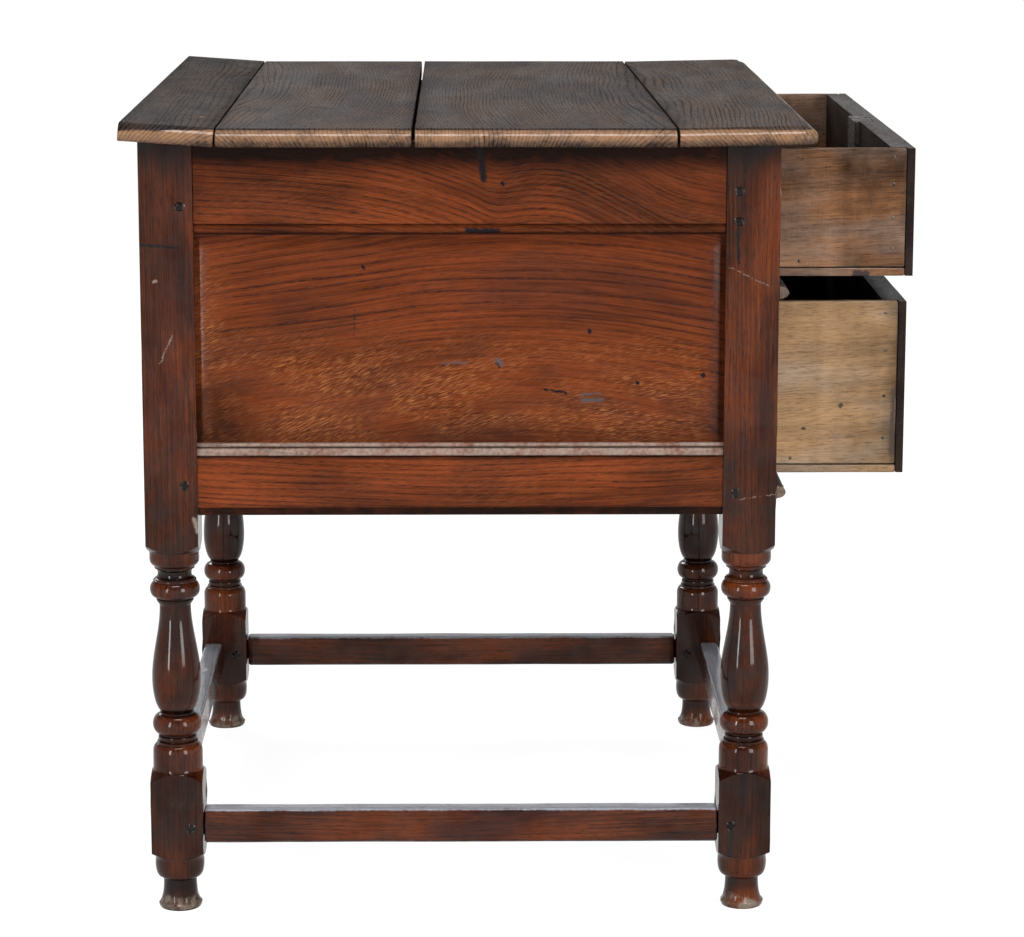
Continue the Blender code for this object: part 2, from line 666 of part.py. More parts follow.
def build_back(table):
    """The back frame: plain rails and a flat panel."""
    up, outward, along = Vector((0, 0, 1)), Vector((0, 1, 0)), Vector((-1, 0, 0))
    section, span = axes(-outward, up, along), INNER_X - FIT_GAP
    place = (0.0, HALF_DEPTH - RAIL_INSET, 0.0)
    rail("back_top_rail", top_rail_outline(BACK_TOP_RAIL_BOTTOM, False), span,
         rail_tenon_heights(BACK_TOP_RAIL_BOTTOM, FRAME_TOP), section, place, OAK_LEG, table)
    rail("back_bottom_rail", bottom_rail_outline(BACK_BOTTOM_RAIL_TOP, False), span,
         rail_tenon_heights(CASE_BOTTOM, BACK_BOTTOM_RAIL_TOP), section, place, OAK_LEG, table)
    panel("back_panel", INNER_X, BACK_BOTTOM_RAIL_TOP, BACK_TOP_RAIL_BOTTOM, axes(along, up, outward),
          (0.0, HALF_DEPTH, 0.0), table)


# Front rails, mouldings, stretchers and runners


def cross_bar(name, sy, face_span, tenon_face_span, heights, tenon_heights, tenon_reach, table):
    """A bar from side to side between two legs, joined to the longer bar that makes its tenons.

    The face spans are measured in from the front (sy = -1) or the back of the frame.
    """
    span = INNER_X - FIT_GAP
    reach = span + tenon_reach
    depths = [sy * (HALF_DEPTH - inset) for inset in face_span]
    tenon_depths = [sy * (HALF_DEPTH - inset) for inset in tenon_face_span]
    body = box(name, (-span, depths[0], heights[0]), (span, depths[1], heights[1]))
    tenon = box(f"{name}_tenon", (-reach, tenon_depths[0], tenon_heights[0]),
                (reach, tenon_depths[1], tenon_heights[1]))
    made = piece(name, body, OAK_LEG, table)
    boolean(made, cutter(tenon.name, tenon, table), "UNION")
    return made


def build_front(table):
    """The rails round the drawer openings and the half-round mouldings nailed over two of them."""
    flat_face = (FLAT_RAIL_INSET, FLAT_RAIL_INSET + FLAT_RAIL_DEPTH)
    for name, heights in FLAT_RAILS.items():
        made = cross_bar(name, -1, flat_face, FLAT_TENON_SPAN, heights, flat_tenon_heights(*heights),
                         RAIL_TENON_LENGTH, table)
        if name == "front_top_rail":
            half = Vector((BOLT_WIDTH / 2 + DRAWER_SLACK, BOLT_DEPTH / 2 + DRAWER_SLACK, TOP_RAIL_THICKNESS))
            middle = Vector((0.0, LOCK_BOLT_Y - HALF_DEPTH, FRAME_TOP - TOP_RAIL_THICKNESS / 2))
            slot = box("keeper_slot", middle - half, middle + half)
            boolean(made, cutter(slot.name, slot, table), "DIFFERENCE")
    cross_bar("front_bottom_rail", -1, (RAIL_INSET, RAIL_INSET + RAIL_THICKNESS), RAIL_TENON_SPAN,
              (CASE_BOTTOM, FRONT_BOTTOM_RAIL_TOP), FRONT_BOTTOM_TENON_HEIGHTS, RAIL_TENON_LENGTH, table)
    section = arc((0.0, 0.0), (MOULDING_DEPTH, MOULDING_HEIGHT / 2), -90, 90, 8)
    turn = axes(Vector((0, -1, 0)), Vector((0, 0, 1)), Vector((-1, 0, 0)))
    for name, top in (("mid_moulding", MID_RAIL_TOP), ("bottom_moulding", FRONT_BOTTOM_RAIL_TOP)):
        piece(name, prism(name, section, -HALF_WIDTH, HALF_WIDTH, turn), OAK_LEG, table,
              (0.0, -HALF_DEPTH - FIT_GAP, top - MOULDING_HEIGHT / 2))


def build_stretchers(table):
    """Four low rails tenoned between the legs' lower blocks."""
    face_span = (STRETCHER_INSET, STRETCHER_INSET + STRETCHER_THICKNESS)
    heights = (STRETCHER_BOTTOM, STRETCHER_TOP)
    for sy, row in ROWS:
        cross_bar(f"stretcher_{row}", sy, face_span, STRETCHER_TENON_SPAN, heights, STRETCHER_TENON_HEIGHTS,
                  STRETCHER_TENON_LENGTH, table)
    span = INNER_Y - FIT_GAP
    reach = span + STRETCHER_TENON_LENGTH
    for sx, end in ENDS:
        name = f"stretcher_{end}"
        near, far = (sx * (HALF_WIDTH - inset) for inset in face_span)
        body = box(name, (near, -span, STRETCHER_BOTTOM), (far, span, STRETCHER_TOP))
        near, far = (sx * (HALF_WIDTH - inset) for inset in STRETCHER_TENON_SPAN)
        low, high = STRETCHER_TENON_HEIGHTS
        tenon = box(f"{name}_tenon", (near, -reach, low), (far, reach, high))
        boolean(piece(name, body, OAK_LEG, table), cutter(tenon.name, tenon, table), "UNION")


def build_runners(table):
    """Rebated bearers, housed in the legs, that each drawer slides on and is guided by."""
    half = INNER_Y + RUNNER_HOUSING
    inner, shelf = INNER_X - RUNNER_REACH, INNER_X + FIT_GAP
    for level, top in RUNNER_TOPS.items():
        low, high = top - RUNNER_THICKNESS, top + GUIDE_HEIGHT
        outline = [(inner, top), (inner, low), (RUNNER_OUTER_X, low),
                   (RUNNER_OUTER_X, high), (shelf, high), (shelf, top)]
        for sx, end in ENDS:
            name = f"runner_{level}_{end}"
            turn = axes(Vector((sx, 0, 0)), Vector((0, 0, 1)), Vector((0, -sx, 0)))
            runner = piece(name, prism(name, outline, -half, half, turn), OAK_DRAWER, table)
            for sy, row in ROWS:
                near = (sx * (inner - OVERCUT), sy * (INNER_Y - FIT_GAP), low - OVERCUT)
                far = (sx * shelf, sy * (half + OVERCUT), high + OVERCUT)
                notch = box(f"{name}_{row}_notch", near, far)
                boolean(runner, cutter(notch.name, notch, table), "DIFFERENCE")


# The top


def thumb_edge(edge, inward_sign):
    """One moulded edge of the top, from its upper surface (height 0) down to the underside."""
    nose = THUMB_NOSE - TOP_THICKNESS
    shoulder = edge + inward_sign * THUMB_WIDTH
    points = [(shoulder, 0.0), (shoulder, -THUMB_FILLET)]
    points += arc((shoulder, nose), (-inward_sign * THUMB_WIDTH, -THUMB_FILLET - nose), 90, 0, 5)[1:]
    points += [(edge + inward_sign * THUMB_UNDERCUT, -TOP_THICKNESS)]
    return points


def rounded_plan(half_length, front, back):
    """The front board's outline from above, with its two front corners rounded."""
    left, right = CORNER_RADIUS_LEFT, CORNER_RADIUS_RIGHT
    points = [(half_length, back), (-half_length, back)]
    points += arc((-half_length + left, front + left), (left, left), 180, 270, 5)
    points += arc((half_length - right, front + right), (right, right), 270, 360, 6)
    return points


def mould_front_edge(board, half_length, width):
    """Give the front board its moulded long edge and rounded corners."""
    along_x = axes(Vector((0, 1, 0)), Vector((0, 0, 1)), Vector((1, 0, 0)))
    edge = thumb_edge(-width, 1)
    shoulder, undercut = edge[0][0], edge[-1][0]
    low, high = -TOP_THICKNESS - OVERCUT, OVERCUT
    keep = [(OVERCUT, high), (shoulder, high), *edge[1:], (undercut, low), (OVERCUT, low)]
    reach = half_length + OVERCUT
    moulded = prism(f"{board.name}_edge", keep, -reach, reach, along_x)
    outline = rounded_plan(half_length + FIT_GAP, -width - FIT_GAP, OVERCUT)
    plan = prism(f"{board.name}_plan", outline, low, high, Matrix.Identity(4))
    for tool in (moulded, plan):
        boolean(board, cutter(tool.name, tool, board), "INTERSECT")


def skew_joint(mesh, half_length):
    """Turn the joint at a board's origin, so that it runs nearer the back at the right-hand end."""
    for vertex in mesh.vertices:
        if abs(vertex.co.y) < FIT_GAP:
            vertex.co.y += BOARD_TAPER * (1 + vertex.co.x / half_length) / 2


def build_top(table):
    """Four boards laid side by side; the outer two have lifted a little at their free edges.

    A board's origin is on its upper surface, at the joint that it has lifted from.
    """
    half_length = HALF_WIDTH + TOP_OVERHANG_END
    depth = FRAME_DEPTH + TOP_OVERHANG_BACK + TOP_OVERHANG_FRONT
    widths = (*BOARD_WIDTHS, depth - sum(BOARD_WIDTHS) - sum(BOARD_JOINTS))
    section = thumb_edge(-half_length, 1)[::-1] + thumb_edge(half_length, -1)
    along_y = axes(Vector((1, 0, 0)), Vector((0, 0, 1)), Vector((0, -1, 0)))
    back_edge = HALF_DEPTH + TOP_OVERHANG_BACK
    for number, (width, joint) in enumerate(zip(widths, (*BOARD_JOINTS, 0.0)), start=1):
        front_edge = back_edge - width
        name = f"top_board_{number}"
        last = number == len(widths)
        pivot = back_edge if last else front_edge
        mesh = prism(name, section, pivot - back_edge, pivot - front_edge, along_y)
        if number >= len(widths) - 1:
            skew_joint(mesh, half_length)
        board = piece(name, mesh, OAK_TOP, table, (0.0, pivot, HEIGHT))
        if number == 1:
            board.rotation_euler = (BACK_TILT, 0.0, 0.0)
        if last:
            board.rotation_euler = (-math.radians(FRONT_BOARD_LIFT), 0.0, 0.0)
            mould_front_edge(board, half_length, width)
        back_edge = front_edge - joint


# Drawers, with their lock and pulls


def build_drawer(level, slide, height):
    """A nailed drawer: rebated front, two sides, a back, and a bottom under them all.

    The slide frame's origin is the middle of the front's lower outer edge.
    """
    half = INNER_X - DRAWER_SLACK
    inside = half - DRAWER_SIDE_THICKNESS
    floor = DRAWER_BOTTOM_THICKNESS
    lip, rear = DRAWER_LIP + FIT_GAP, DRAWER_LENGTH
    name = f"{level}_drawer_front"
    front = piece(name, box(name, (-half, 0.0, 0.0), (half, DRAWER_FRONT_THICKNESS, height)), OAK_LEG, slide)
    bottom_rebate = box(f"{name}_bottom_rebate", (-half - OVERCUT, DRAWER_LIP, -OVERCUT),
                        (half + OVERCUT, OVERCUT, floor))
    boolean(front, cutter(bottom_rebate.name, bottom_rebate, slide), "DIFFERENCE")
    for sx, end in ENDS:
        rebate = box(f"{name}_{end}_rebate", (sx * inside, DRAWER_LIP, -OVERCUT),
                     (sx * (half + OVERCUT), OVERCUT, height + OVERCUT))
        boolean(front, cutter(rebate.name, rebate, slide), "DIFFERENCE")
        side = box("drawer_side", (sx * half, lip, floor + FIT_GAP), (sx * (inside + FIT_GAP), rear, height))
        piece(f"{level}_drawer_side_{end}", side, OAK_DRAWER, slide)
    back = box("drawer_back", (-inside, rear - DRAWER_SIDE_THICKNESS, floor + FIT_GAP),
               (inside, rear, height))
    piece(f"{level}_drawer_back", back, OAK_DRAWER, slide)
    bottom = box("drawer_bottom", (-half, lip, 0.0), (half, rear, floor - FIT_GAP))
    piece(f"{level}_drawer_bottom", bottom, OAK_DRAWER, slide)
    return front


def build_lock(slide, front, height):
    """An iron lock let into the back of the drawer front, and its bolt."""
    back = DRAWER_FRONT_THICKNESS + LOCK_PROUD
    half = LOCK_WIDTH / 2
    case_low = Vector((-half, back - LOCK_THICKNESS, height - LOCK_HEIGHT))
    case_corners = (case_low, Vector((half, back, height)))
    selvage_low = Vector((-half, SELVAGE_MARGIN, height - SELVAGE_THICKNESS))
    selvage_corners = (selvage_low, Vector((half, LOCK_BOLT_Y, height)))
    case = piece("lock_case", box("lock_case", *case_corners), IRON, slide)
    boolean(case, cutter("lock_selvage", box("lock_selvage", *selvage_corners), slide), "UNION")
    slack = Vector((FIT_GAP, FIT_GAP, FIT_GAP))
    bolt_low = Vector((-BOLT_WIDTH / 2, -BOLT_DEPTH / 2, -BOLT_LENGTH))
    bolt_high = Vector((BOLT_WIDTH / 2, BOLT_DEPTH / 2, 0.0))
    seat = (0.0, LOCK_BOLT_Y, height)
    pocket = box("bolt_pocket", bolt_low - slack, bolt_high + slack + Vector((0.0, 0.0, OVERCUT)))
    boolean(case, cutter("bolt_pocket", pocket, slide, seat), "DIFFERENCE")
    piece("lock_bolt", box("lock_bolt", bolt_low, bolt_high), IRON, slide, seat)
    for name, (low, high) in (("lock_recess", case_corners), ("selvage_recess", selvage_corners)):
        recess = box(name, low - slack, high + Vector((FIT_GAP, OVERCUT, OVERCUT)))
        boolean(front, cutter(name, recess, slide), "DIFFERENCE")


def build_keyhole(slide, front, height):
    """A keyhole through the drawer front to the lock, and the brass plate round it."""
    middle = height - LOCK_HEIGHT / 2
    across = axes(Vector((1, 0, 0)), Vector((0, 0, 1)), Vector((0, -1, 0)))
    outline = closed_ring((0.0, middle), (ESCUTCHEON_WIDTH / 2, ESCUTCHEON_HEIGHT / 2), 24)
    plate = prism("escutcheon", outline, FIT_GAP, FIT_GAP + ESCUTCHEON_THICKNESS, across)
    escutcheon = piece("escutcheon", plate, BRASS, slide)
    eye = closed_ring((0.0, middle), (KEYHOLE_RADIUS, KEYHOLE_RADIUS), 16)
    half = KEYHOLE_SLOT / 2
    tools = (prism("keyhole_eye", eye, -OVERCUT, OVERCUT, across),
             box("keyhole_slot", (-half, -OVERCUT, middle - KEYHOLE_DROP), (half, OVERCUT, middle)))
    for tool in tools:
        hole = cutter(tool.name, tool, slide)
        boolean(front, hole, "DIFFERENCE")
        boolean(escutcheon, hole, "DIFFERENCE")


def pin_curve():
    """The pull's pin: clenched inside, straight through the front, and looped outside."""
    bend = PIN_RADIUS + PIN_BEND
    inner = DRAWER_FRONT_THICKNESS + FIT_GAP
    route = [(inner + bend, PIN_CLENCH)]
    route += arc((inner, bend), (bend, bend), 0, -90, 4)
    route += arc((-PIN_REACH, -PIN_LOOP), (PIN_LOOP, PIN_LOOP), 90, 300, 14)
    curve = bpy.data.curves.new("pull_pin", "CURVE")
    curve.dimensions = "3D"
    curve.bevel_depth = PIN_RADIUS
    curve.bevel_resolution = 2
    curve.use_fill_caps = True
    spline = curve.splines.new("POLY")
    spline.points.add(len(route) - 1)
    for point, (y, z) in zip(spline.points, route):
        point.co = (0.0, y, z, 1.0)
    return curve


def plate_profile():
    """The domed plate's section, from the hole's upper edge round to it again."""
    hole, rim = PIN_RADIUS + FIT_GAP, FIT_GAP + PLATE_EDGE
    points = [(hole, FIT_GAP + PLATE_DOME)]
    points += round_under((PLATE_RADIUS, rim), (hole, FIT_GAP + PLATE_DOME), 5)[-2::-1]
    return [*points, (PLATE_RADIUS, rim), (PLATE_RADIUS, FIT_GAP), (hole, FIT_GAP), points[0]]


def drop_profile(neck_top):
    """The pear-shaped drop, from inside its ring's wire down to the tip."""
    neck = (DROP_NECK_RADIUS, neck_top - DROP_LENGTH * DROP_NECK_SHARE)
    belly = (DROP_RADIUS, neck_top - DROP_LENGTH * DROP_BELLY_SHARE)
    foot = (DROP_TIP_RADIUS, neck_top - DROP_LENGTH * DROP_FOOT_SHARE)
    points = [(0.0, neck_top), (DROP_NECK_RADIUS, neck_top), neck]
    points += swell(neck, belly, 6) + round_under(belly, foot, 4)
    return [*points, (DROP_TIP_RADIUS, neck_top - DROP_LENGTH), (0.0, neck_top - DROP_LENGTH)]


def build_drop(name, slide, pivot):
    """A drop with its ring; its origin is the middle of the loop that the ring slides on."""
    ring_middle = -PIN_LOOP - DROP_RING_SLACK
    pear = turned_mesh(name, drop_profile(ring_middle - DROP_RING_RADIUS), 12)
    drop = piece(name, pear, BRASS, slide, pivot)
    bm = bmesh.new()
    bmesh.ops.create_circle(bm, segments=6, radius=DROP_RING_WIRE)
    bmesh.ops.translate(bm, verts=bm.verts, vec=(DROP_RING_RADIUS, 0.0, 0.0))
    wire = bm.verts[:] + bm.edges[:]
    bmesh.ops.spin(bm, geom=wire, axis=(0, 1, 0), angle=math.tau, steps=16, use_merge=True)
    bmesh.ops.remove_doubles(bm, verts=bm.verts, dist=1e-6)
    bmesh.ops.translate(bm, verts=bm.verts, vec=(0.0, 0.0, ring_middle))
    boolean(drop, cutter(f"{name}_ring", finished(bm, "ring"), slide, pivot), "UNION")


def build_pull(name, slide, front, place):
    """One drop pull: a domed plate, the pin through the front, and the drop on its loop."""
    outward = (math.radians(90), 0.0, 0.0)
    plate = piece(f"{name}_plate", turned_mesh("pull_plate", plate_profile(), 20), BRASS, slide, place)
    plate.rotation_euler = outward
    piece(f"{name}_pin", pin_curve(), BRASS, slide, place)
    radius = PIN_RADIUS + FIT_GAP
    section = [(0.0, OVERCUT), (radius, OVERCUT), (radius, -OVERCUT), (0.0, -OVERCUT)]
    bore = turned_mesh("pin_bore", section, 12)
    drill = cutter(f"{name}_bore", bore, slide, place)
    drill.rotation_euler = outward
    boolean(front, drill, "DIFFERENCE")
    build_drop(f"{name}_drop", slide, (place[0], place[1] - PIN_REACH, place[2] - PIN_LOOP))


def build_drawers(table):
    """Both drawers, pulled out as far as they stand open."""
    for level, bottom, height, opened in (
        ("upper", UPPER_DRAWER_BOTTOM, UPPER_DRAWER_HEIGHT, UPPER_DRAWER_OPEN),
        ("lower", LOWER_DRAWER_BOTTOM, LOWER_DRAWER_HEIGHT, LOWER_DRAWER_OPEN),
    ):
        slide = empty(f"{level}_drawer_slide", (0.0, -HALF_DEPTH - opened, bottom), table)
        front = build_drawer(level, slide, height)
        if level == "upper":
            build_lock(slide, front, height)
            build_keyhole(slide, front, height)
        for sx, end in ENDS:
            build_pull(f"{level}_pull_{end}", slide, front, (sx * PULL_SPACING / 2, 0.0, height / 2))


clear_scene()
PARTS = new_collection("oak_side_table")
CUTTERS = new_collection("cutters", hidden=True)
TABLE = empty("table", (0.0, -ORIGIN_Y, 0.0))
build_legs(TABLE)
build_sides(TABLE)
build_back(TABLE)
build_front(TABLE)
build_stretchers(TABLE)
build_runners(TABLE)
build_top(TABLE)
build_drawers(TABLE)
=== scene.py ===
"""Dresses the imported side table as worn, waxed oak and sets it in a pale studio.

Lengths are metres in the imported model's frame: +Z is up, the drawers open
towards -Y, and the main view looks along +X at the table's left end.
"""

import functools
import logging
import math
import random
from collections.abc import Callable, Sequence
from dataclasses import dataclass, replace
from enum import Enum

import bmesh
import bpy
from mathutils import Matrix, Quaternion, Vector, noise


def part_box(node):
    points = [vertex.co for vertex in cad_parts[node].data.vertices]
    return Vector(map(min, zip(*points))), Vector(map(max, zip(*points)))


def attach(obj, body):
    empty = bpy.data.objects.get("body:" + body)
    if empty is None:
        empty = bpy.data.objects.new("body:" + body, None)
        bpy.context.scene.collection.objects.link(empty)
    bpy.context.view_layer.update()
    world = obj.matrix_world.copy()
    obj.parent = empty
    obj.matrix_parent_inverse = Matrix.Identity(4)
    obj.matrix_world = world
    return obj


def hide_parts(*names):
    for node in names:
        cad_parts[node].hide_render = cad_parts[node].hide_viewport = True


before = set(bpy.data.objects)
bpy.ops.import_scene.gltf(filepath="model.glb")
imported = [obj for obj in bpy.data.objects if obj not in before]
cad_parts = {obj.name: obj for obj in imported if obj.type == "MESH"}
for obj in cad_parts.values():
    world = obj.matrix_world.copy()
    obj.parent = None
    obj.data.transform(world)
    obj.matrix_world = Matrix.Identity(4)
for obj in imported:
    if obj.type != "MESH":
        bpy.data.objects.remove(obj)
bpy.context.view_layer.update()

LOG = logging.getLogger("side_table")
WELD = 1e-5
FLAT_ANGLE = math.radians(0.5)
SMOOTH_ANGLE = math.radians(50.0)
WHITE = (1.0, 1.0, 1.0, 1.0)
BACK_BOARD, FRONT_BOARD = 0, 3

# How far apart the wood of one seed and the next lies, along the log and in the noise.
SEED_STRIDE = 1.7
NOISE_STRIDE = (1.0, 2.3, 5.1)

Colour = tuple[float, float, float]
Flat = tuple[float, float]
Spot = tuple[float, float, float]
Tone = tuple[float, float, float]


@functools.cache
def node_box(node: str) -> tuple[Vector, Vector]:
    """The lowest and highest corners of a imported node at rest, worked out once."""
    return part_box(node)


class Axis(Enum):
    """A direction of the table."""

    X = 0
    Y = 1
    Z = 2

    @property
    def vector(self) -> Vector:
        """The unit vector along this axis."""
        return Vector([float(self.value == index) for index in range(3)])


class End(Enum):
    """The table's two ends, with the side of the middle that each is on."""

    LEFT = -1
    RIGHT = 1

    @property
    def label(self) -> str:
        """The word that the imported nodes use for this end."""
        return self.name.lower()


class MarkKind(Enum):
    """Whether a mark is darker than the wood round it, paler, or scuffed to a dusty grey."""

    DARK = "dark"
    PALE = "pale"
    GREY = "grey"


def fade(value: float, full: float, none: float) -> float:
    """Ease from 1 to 0 as a value goes from one limit to the other.

    Args:
        value: the value to judge.
        full: where the result is 1.
        none: where the result is 0.

    Returns:
        A share from 0 to 1.
    """
    share = min(1.0, max(0.0, (value - none) / (full - none)))
    return share * share * (3.0 - 2.0 * share)


def arc(centre: Flat, radii: Flat, start: float, end: float, count: int) -> list[Flat]:
    """Points along part of an ellipse.

    Args:
        centre: the ellipse's middle.
        radii: its half sizes.
        start: the first angle, in degrees.
        end: the last angle, in degrees.
        count: how many steps to take.

    Returns:
        The points from the first angle to the last.
    """
    angles = [math.radians(start + (end - start) * step / count) for step in range(count + 1)]
    return [(centre[0] + radii[0] * math.cos(a), centre[1] + radii[1] * math.sin(a)) for a in angles]


@dataclass(frozen=True)
class Mark:
    """A crack, stain, scratch or chip: whatever lies near a line on the table.

    Attributes:
        kind: darker, paler or greyer than the wood.
        start: one end of the line.
        end: the other end.
        reach: how far from the line it shows.
        core: the share of the reach that is at full strength.
    """

    kind: MarkKind
    start: Spot
    end: Spot
    reach: float
    core: float = 0.4


@dataclass(frozen=True)
class Grain:
    """How a piece lay in its log, which sets the rings that show on its faces.

    Attributes:
        fibre: the axis that the fibres run along.
        through: the axis across the piece's thickness.
        pith: where the log's heart is from the piece's middle, across its width and its thickness.
        bow: how far the rings swing across at the middle of the length.
        seed: which stretch of wood it is.
        flow: more swing, as places along the length from -1 to 1 and distances.
    """

    fibre: Axis
    through: Axis
    pith: Flat = (0.16, 0.11)
    bow: float = 0.006
    seed: float = 0.0
    flow: tuple[Flat, ...] = ()

    def slope(self, index: int) -> float:
        """How steeply the flow runs at one of its places."""
        before = self.flow[max(index - 1, 0)]
        after = self.flow[min(index + 1, len(self.flow) - 1)]
        return (after[1] - before[1]) / (after[0] - before[0])

    def swing(self, reach: float) -> float:
        """How far the rings are moved across, at a place from -1 to 1 along the length."""
        moved = self.bow * (1.0 - reach * reach)
        for index, ((near, first), (far, second)) in enumerate(zip(self.flow, self.flow[1:])):
            if near <= reach <= far:
                width = far - near
                share = (reach - near) / width
                rest = 1.0 - share
                level = first * rest * rest * (1.0 + 2.0 * share)
                level += second * share * share * (3.0 - 2.0 * share)
                moved += level
                moved += width * share * rest * (self.slope(index) * rest - self.slope(index + 1) * share)
                break
        return moved

    def place(self, point: Vector, middle: Vector, half: Vector) -> Vector:
        """Where a point of the piece lies in the log: along it, and two ways from its heart."""
        offset = point - middle
        across = 3 - self.fibre.value - self.through.value
        along = offset[self.fibre.value]
        swing = self.swing(min(1.0, max(-1.0, along / half[self.fibre.value])))
        return Vector((along + SEED_STRIDE * self.seed, offset[self.through.value] + self.pith[1],
                       offset[across] + self.pith[0] + swing))


class NodeBench:
    """A material's nodes, with short ways to add and join them."""

    def __init__(self, name: str) -> None:
        """Start a material.

        Args:
            name: what the material is called.
        """
        self.material = bpy.data.materials.new(name)
        self.material.use_nodes = True
        self.tree = self.material.node_tree
        self.shader = self.tree.nodes["Principled BSDF"]

    def feed(self, socket: bpy.types.NodeSocket, value: object) -> None:
        """Join a socket to an input, or set the input to a plain value."""
        if isinstance(value, bpy.types.NodeSocket):
            self.tree.links.new(value, socket)
        else:
            socket.default_value = value

    def shade(self, inputs: dict) -> None:
        """Join or set inputs of the material's shader."""
        for name, value in inputs.items():
            self.feed(self.shader.inputs[name], value)

    def surface(self, shader: bpy.types.Node) -> None:
        """Show another shader in place of the material's own."""
        self.feed(self.tree.nodes["Material Output"].inputs["Surface"], shader.outputs[0])

    def add(self, kind: str, inputs: dict, **settings: object) -> bpy.types.Node:
        """Add a node.

        Args:
            kind: the node's type, without its usual prefix.
            inputs: what each input is joined or set to.
            settings: the node's own options.

        Returns:
            The new node.
        """
        node = self.tree.nodes.new("ShaderNode" + kind)
        for name, value in settings.items():
            setattr(node, name, value)
        for key, value in inputs.items():
            self.feed(node.inputs[key], value)
        return node

    def math(self, operation: str, *values: object, clamp: bool = False) -> bpy.types.NodeSocket:
        """The result of a sum on numbers."""
        return self.add("Math", dict(enumerate(values)), operation=operation, use_clamp=clamp).outputs[0]

    def times(self, first: object, second: object, clamp: bool = False) -> bpy.types.NodeSocket:
        """The product of two numbers."""
        return self.math("MULTIPLY", first, second, clamp=clamp)

    def linear(self, value: object, factor: object, base: object) -> bpy.types.NodeSocket:
        """A number times a factor, plus a base."""
        return self.math("MULTIPLY_ADD", value, factor, base)

    def vector(self, operation: str, *values: object) -> bpy.types.NodeSocket:
        """The result of a sum on vectors."""
        node = self.add("VectorMath", dict(enumerate(values)), operation=operation)
        single = operation in ("LENGTH", "DISTANCE", "DOT_PRODUCT")
        return node.outputs["Value" if single else "Vector"]

    def scaled(self, vector: object, amount: object) -> bpy.types.NodeSocket:
        """A vector or colour made longer or brighter by one number."""
        return self.add("VectorMath", {0: vector, "Scale": amount}, operation="SCALE").outputs["Vector"]

    def noise(self, place: object, scale: Spot, detail: float = 2.0) -> bpy.types.NodeSocket:
        """Cloudy noise about 0.5, with its own scale along each axis of the place."""
        stretched = self.vector("MULTIPLY", place, scale)
        return self.add("TexNoise", {"Vector": stretched, "Scale": 1.0, "Detail": detail}).outputs[0]

    def step(self, value: object, low: float, high: float) -> bpy.types.NodeSocket:
        """Ease from 0 to 1 as a value goes from low to high."""
        inputs = {"Value": value, "From Min": low, "From Max": high}
        return self.add("MapRange", inputs, interpolation_type="SMOOTHSTEP").outputs[0]

    def mix(self, share: object, first: object, second: object) -> bpy.types.NodeSocket:
        """A colour between two, by a share from 0 to 1."""
        first, second = ((*value, 1.0) if isinstance(value, tuple) else value for value in (first, second))
        node = self.add("Mix", {0: share, 6: first, 7: second}, data_type="RGBA")
        return node.outputs[2]

    def attribute(self, name: str, output: str = "Fac") -> bpy.types.NodeSocket:
        """A value that the mesh carries on its vertices."""
        return self.add("Attribute", {}, attribute_name=name).outputs[output]

    def object_place(self) -> bpy.types.NodeSocket:
        """The place on the object, which is its place on the table at rest."""
        return self.add("TexCoord", {}).outputs["Object"]


@dataclass(frozen=True)
class Finish:
    """A material of the table.

    Attributes:
        name: the material's name.
        slot: the record's material slot; not used.
    """

    name: str
    slot: str

    def material(self) -> bpy.types.Material:
        """The material, made on its first use."""
        return bpy.data.materials.get(self.name) or self.mixed()

    def mixed(self) -> bpy.types.Material:
        """Build the material's nodes."""
        raise NotImplementedError


# How often each pattern of the oak comes back in a metre, along the log and two ways across it.
DOTS = (150.0, 800.0, 800.0)
STREAKS = (110.0, 1300.0, 1300.0)
FIBRES = (14.0, 520.0, 520.0)
CLOUDS = (6.0, 26.0, 26.0)
PATCHES = (9.0, 22.0, 22.0)
SCRATCHES = (1000.0, 70.0, 70.0)
RING_DRIFT = (2.6, 10.0, 10.0)
RING_WIDTHS = (1.6, 26.0, 26.0)
RING_STRENGTH = (5.0, 60.0, 60.0)
RAY_FLECKS = (100.0, 70.0, 1450.0)
RAY_BREAKS = (14.0, 40.0, 40.0)


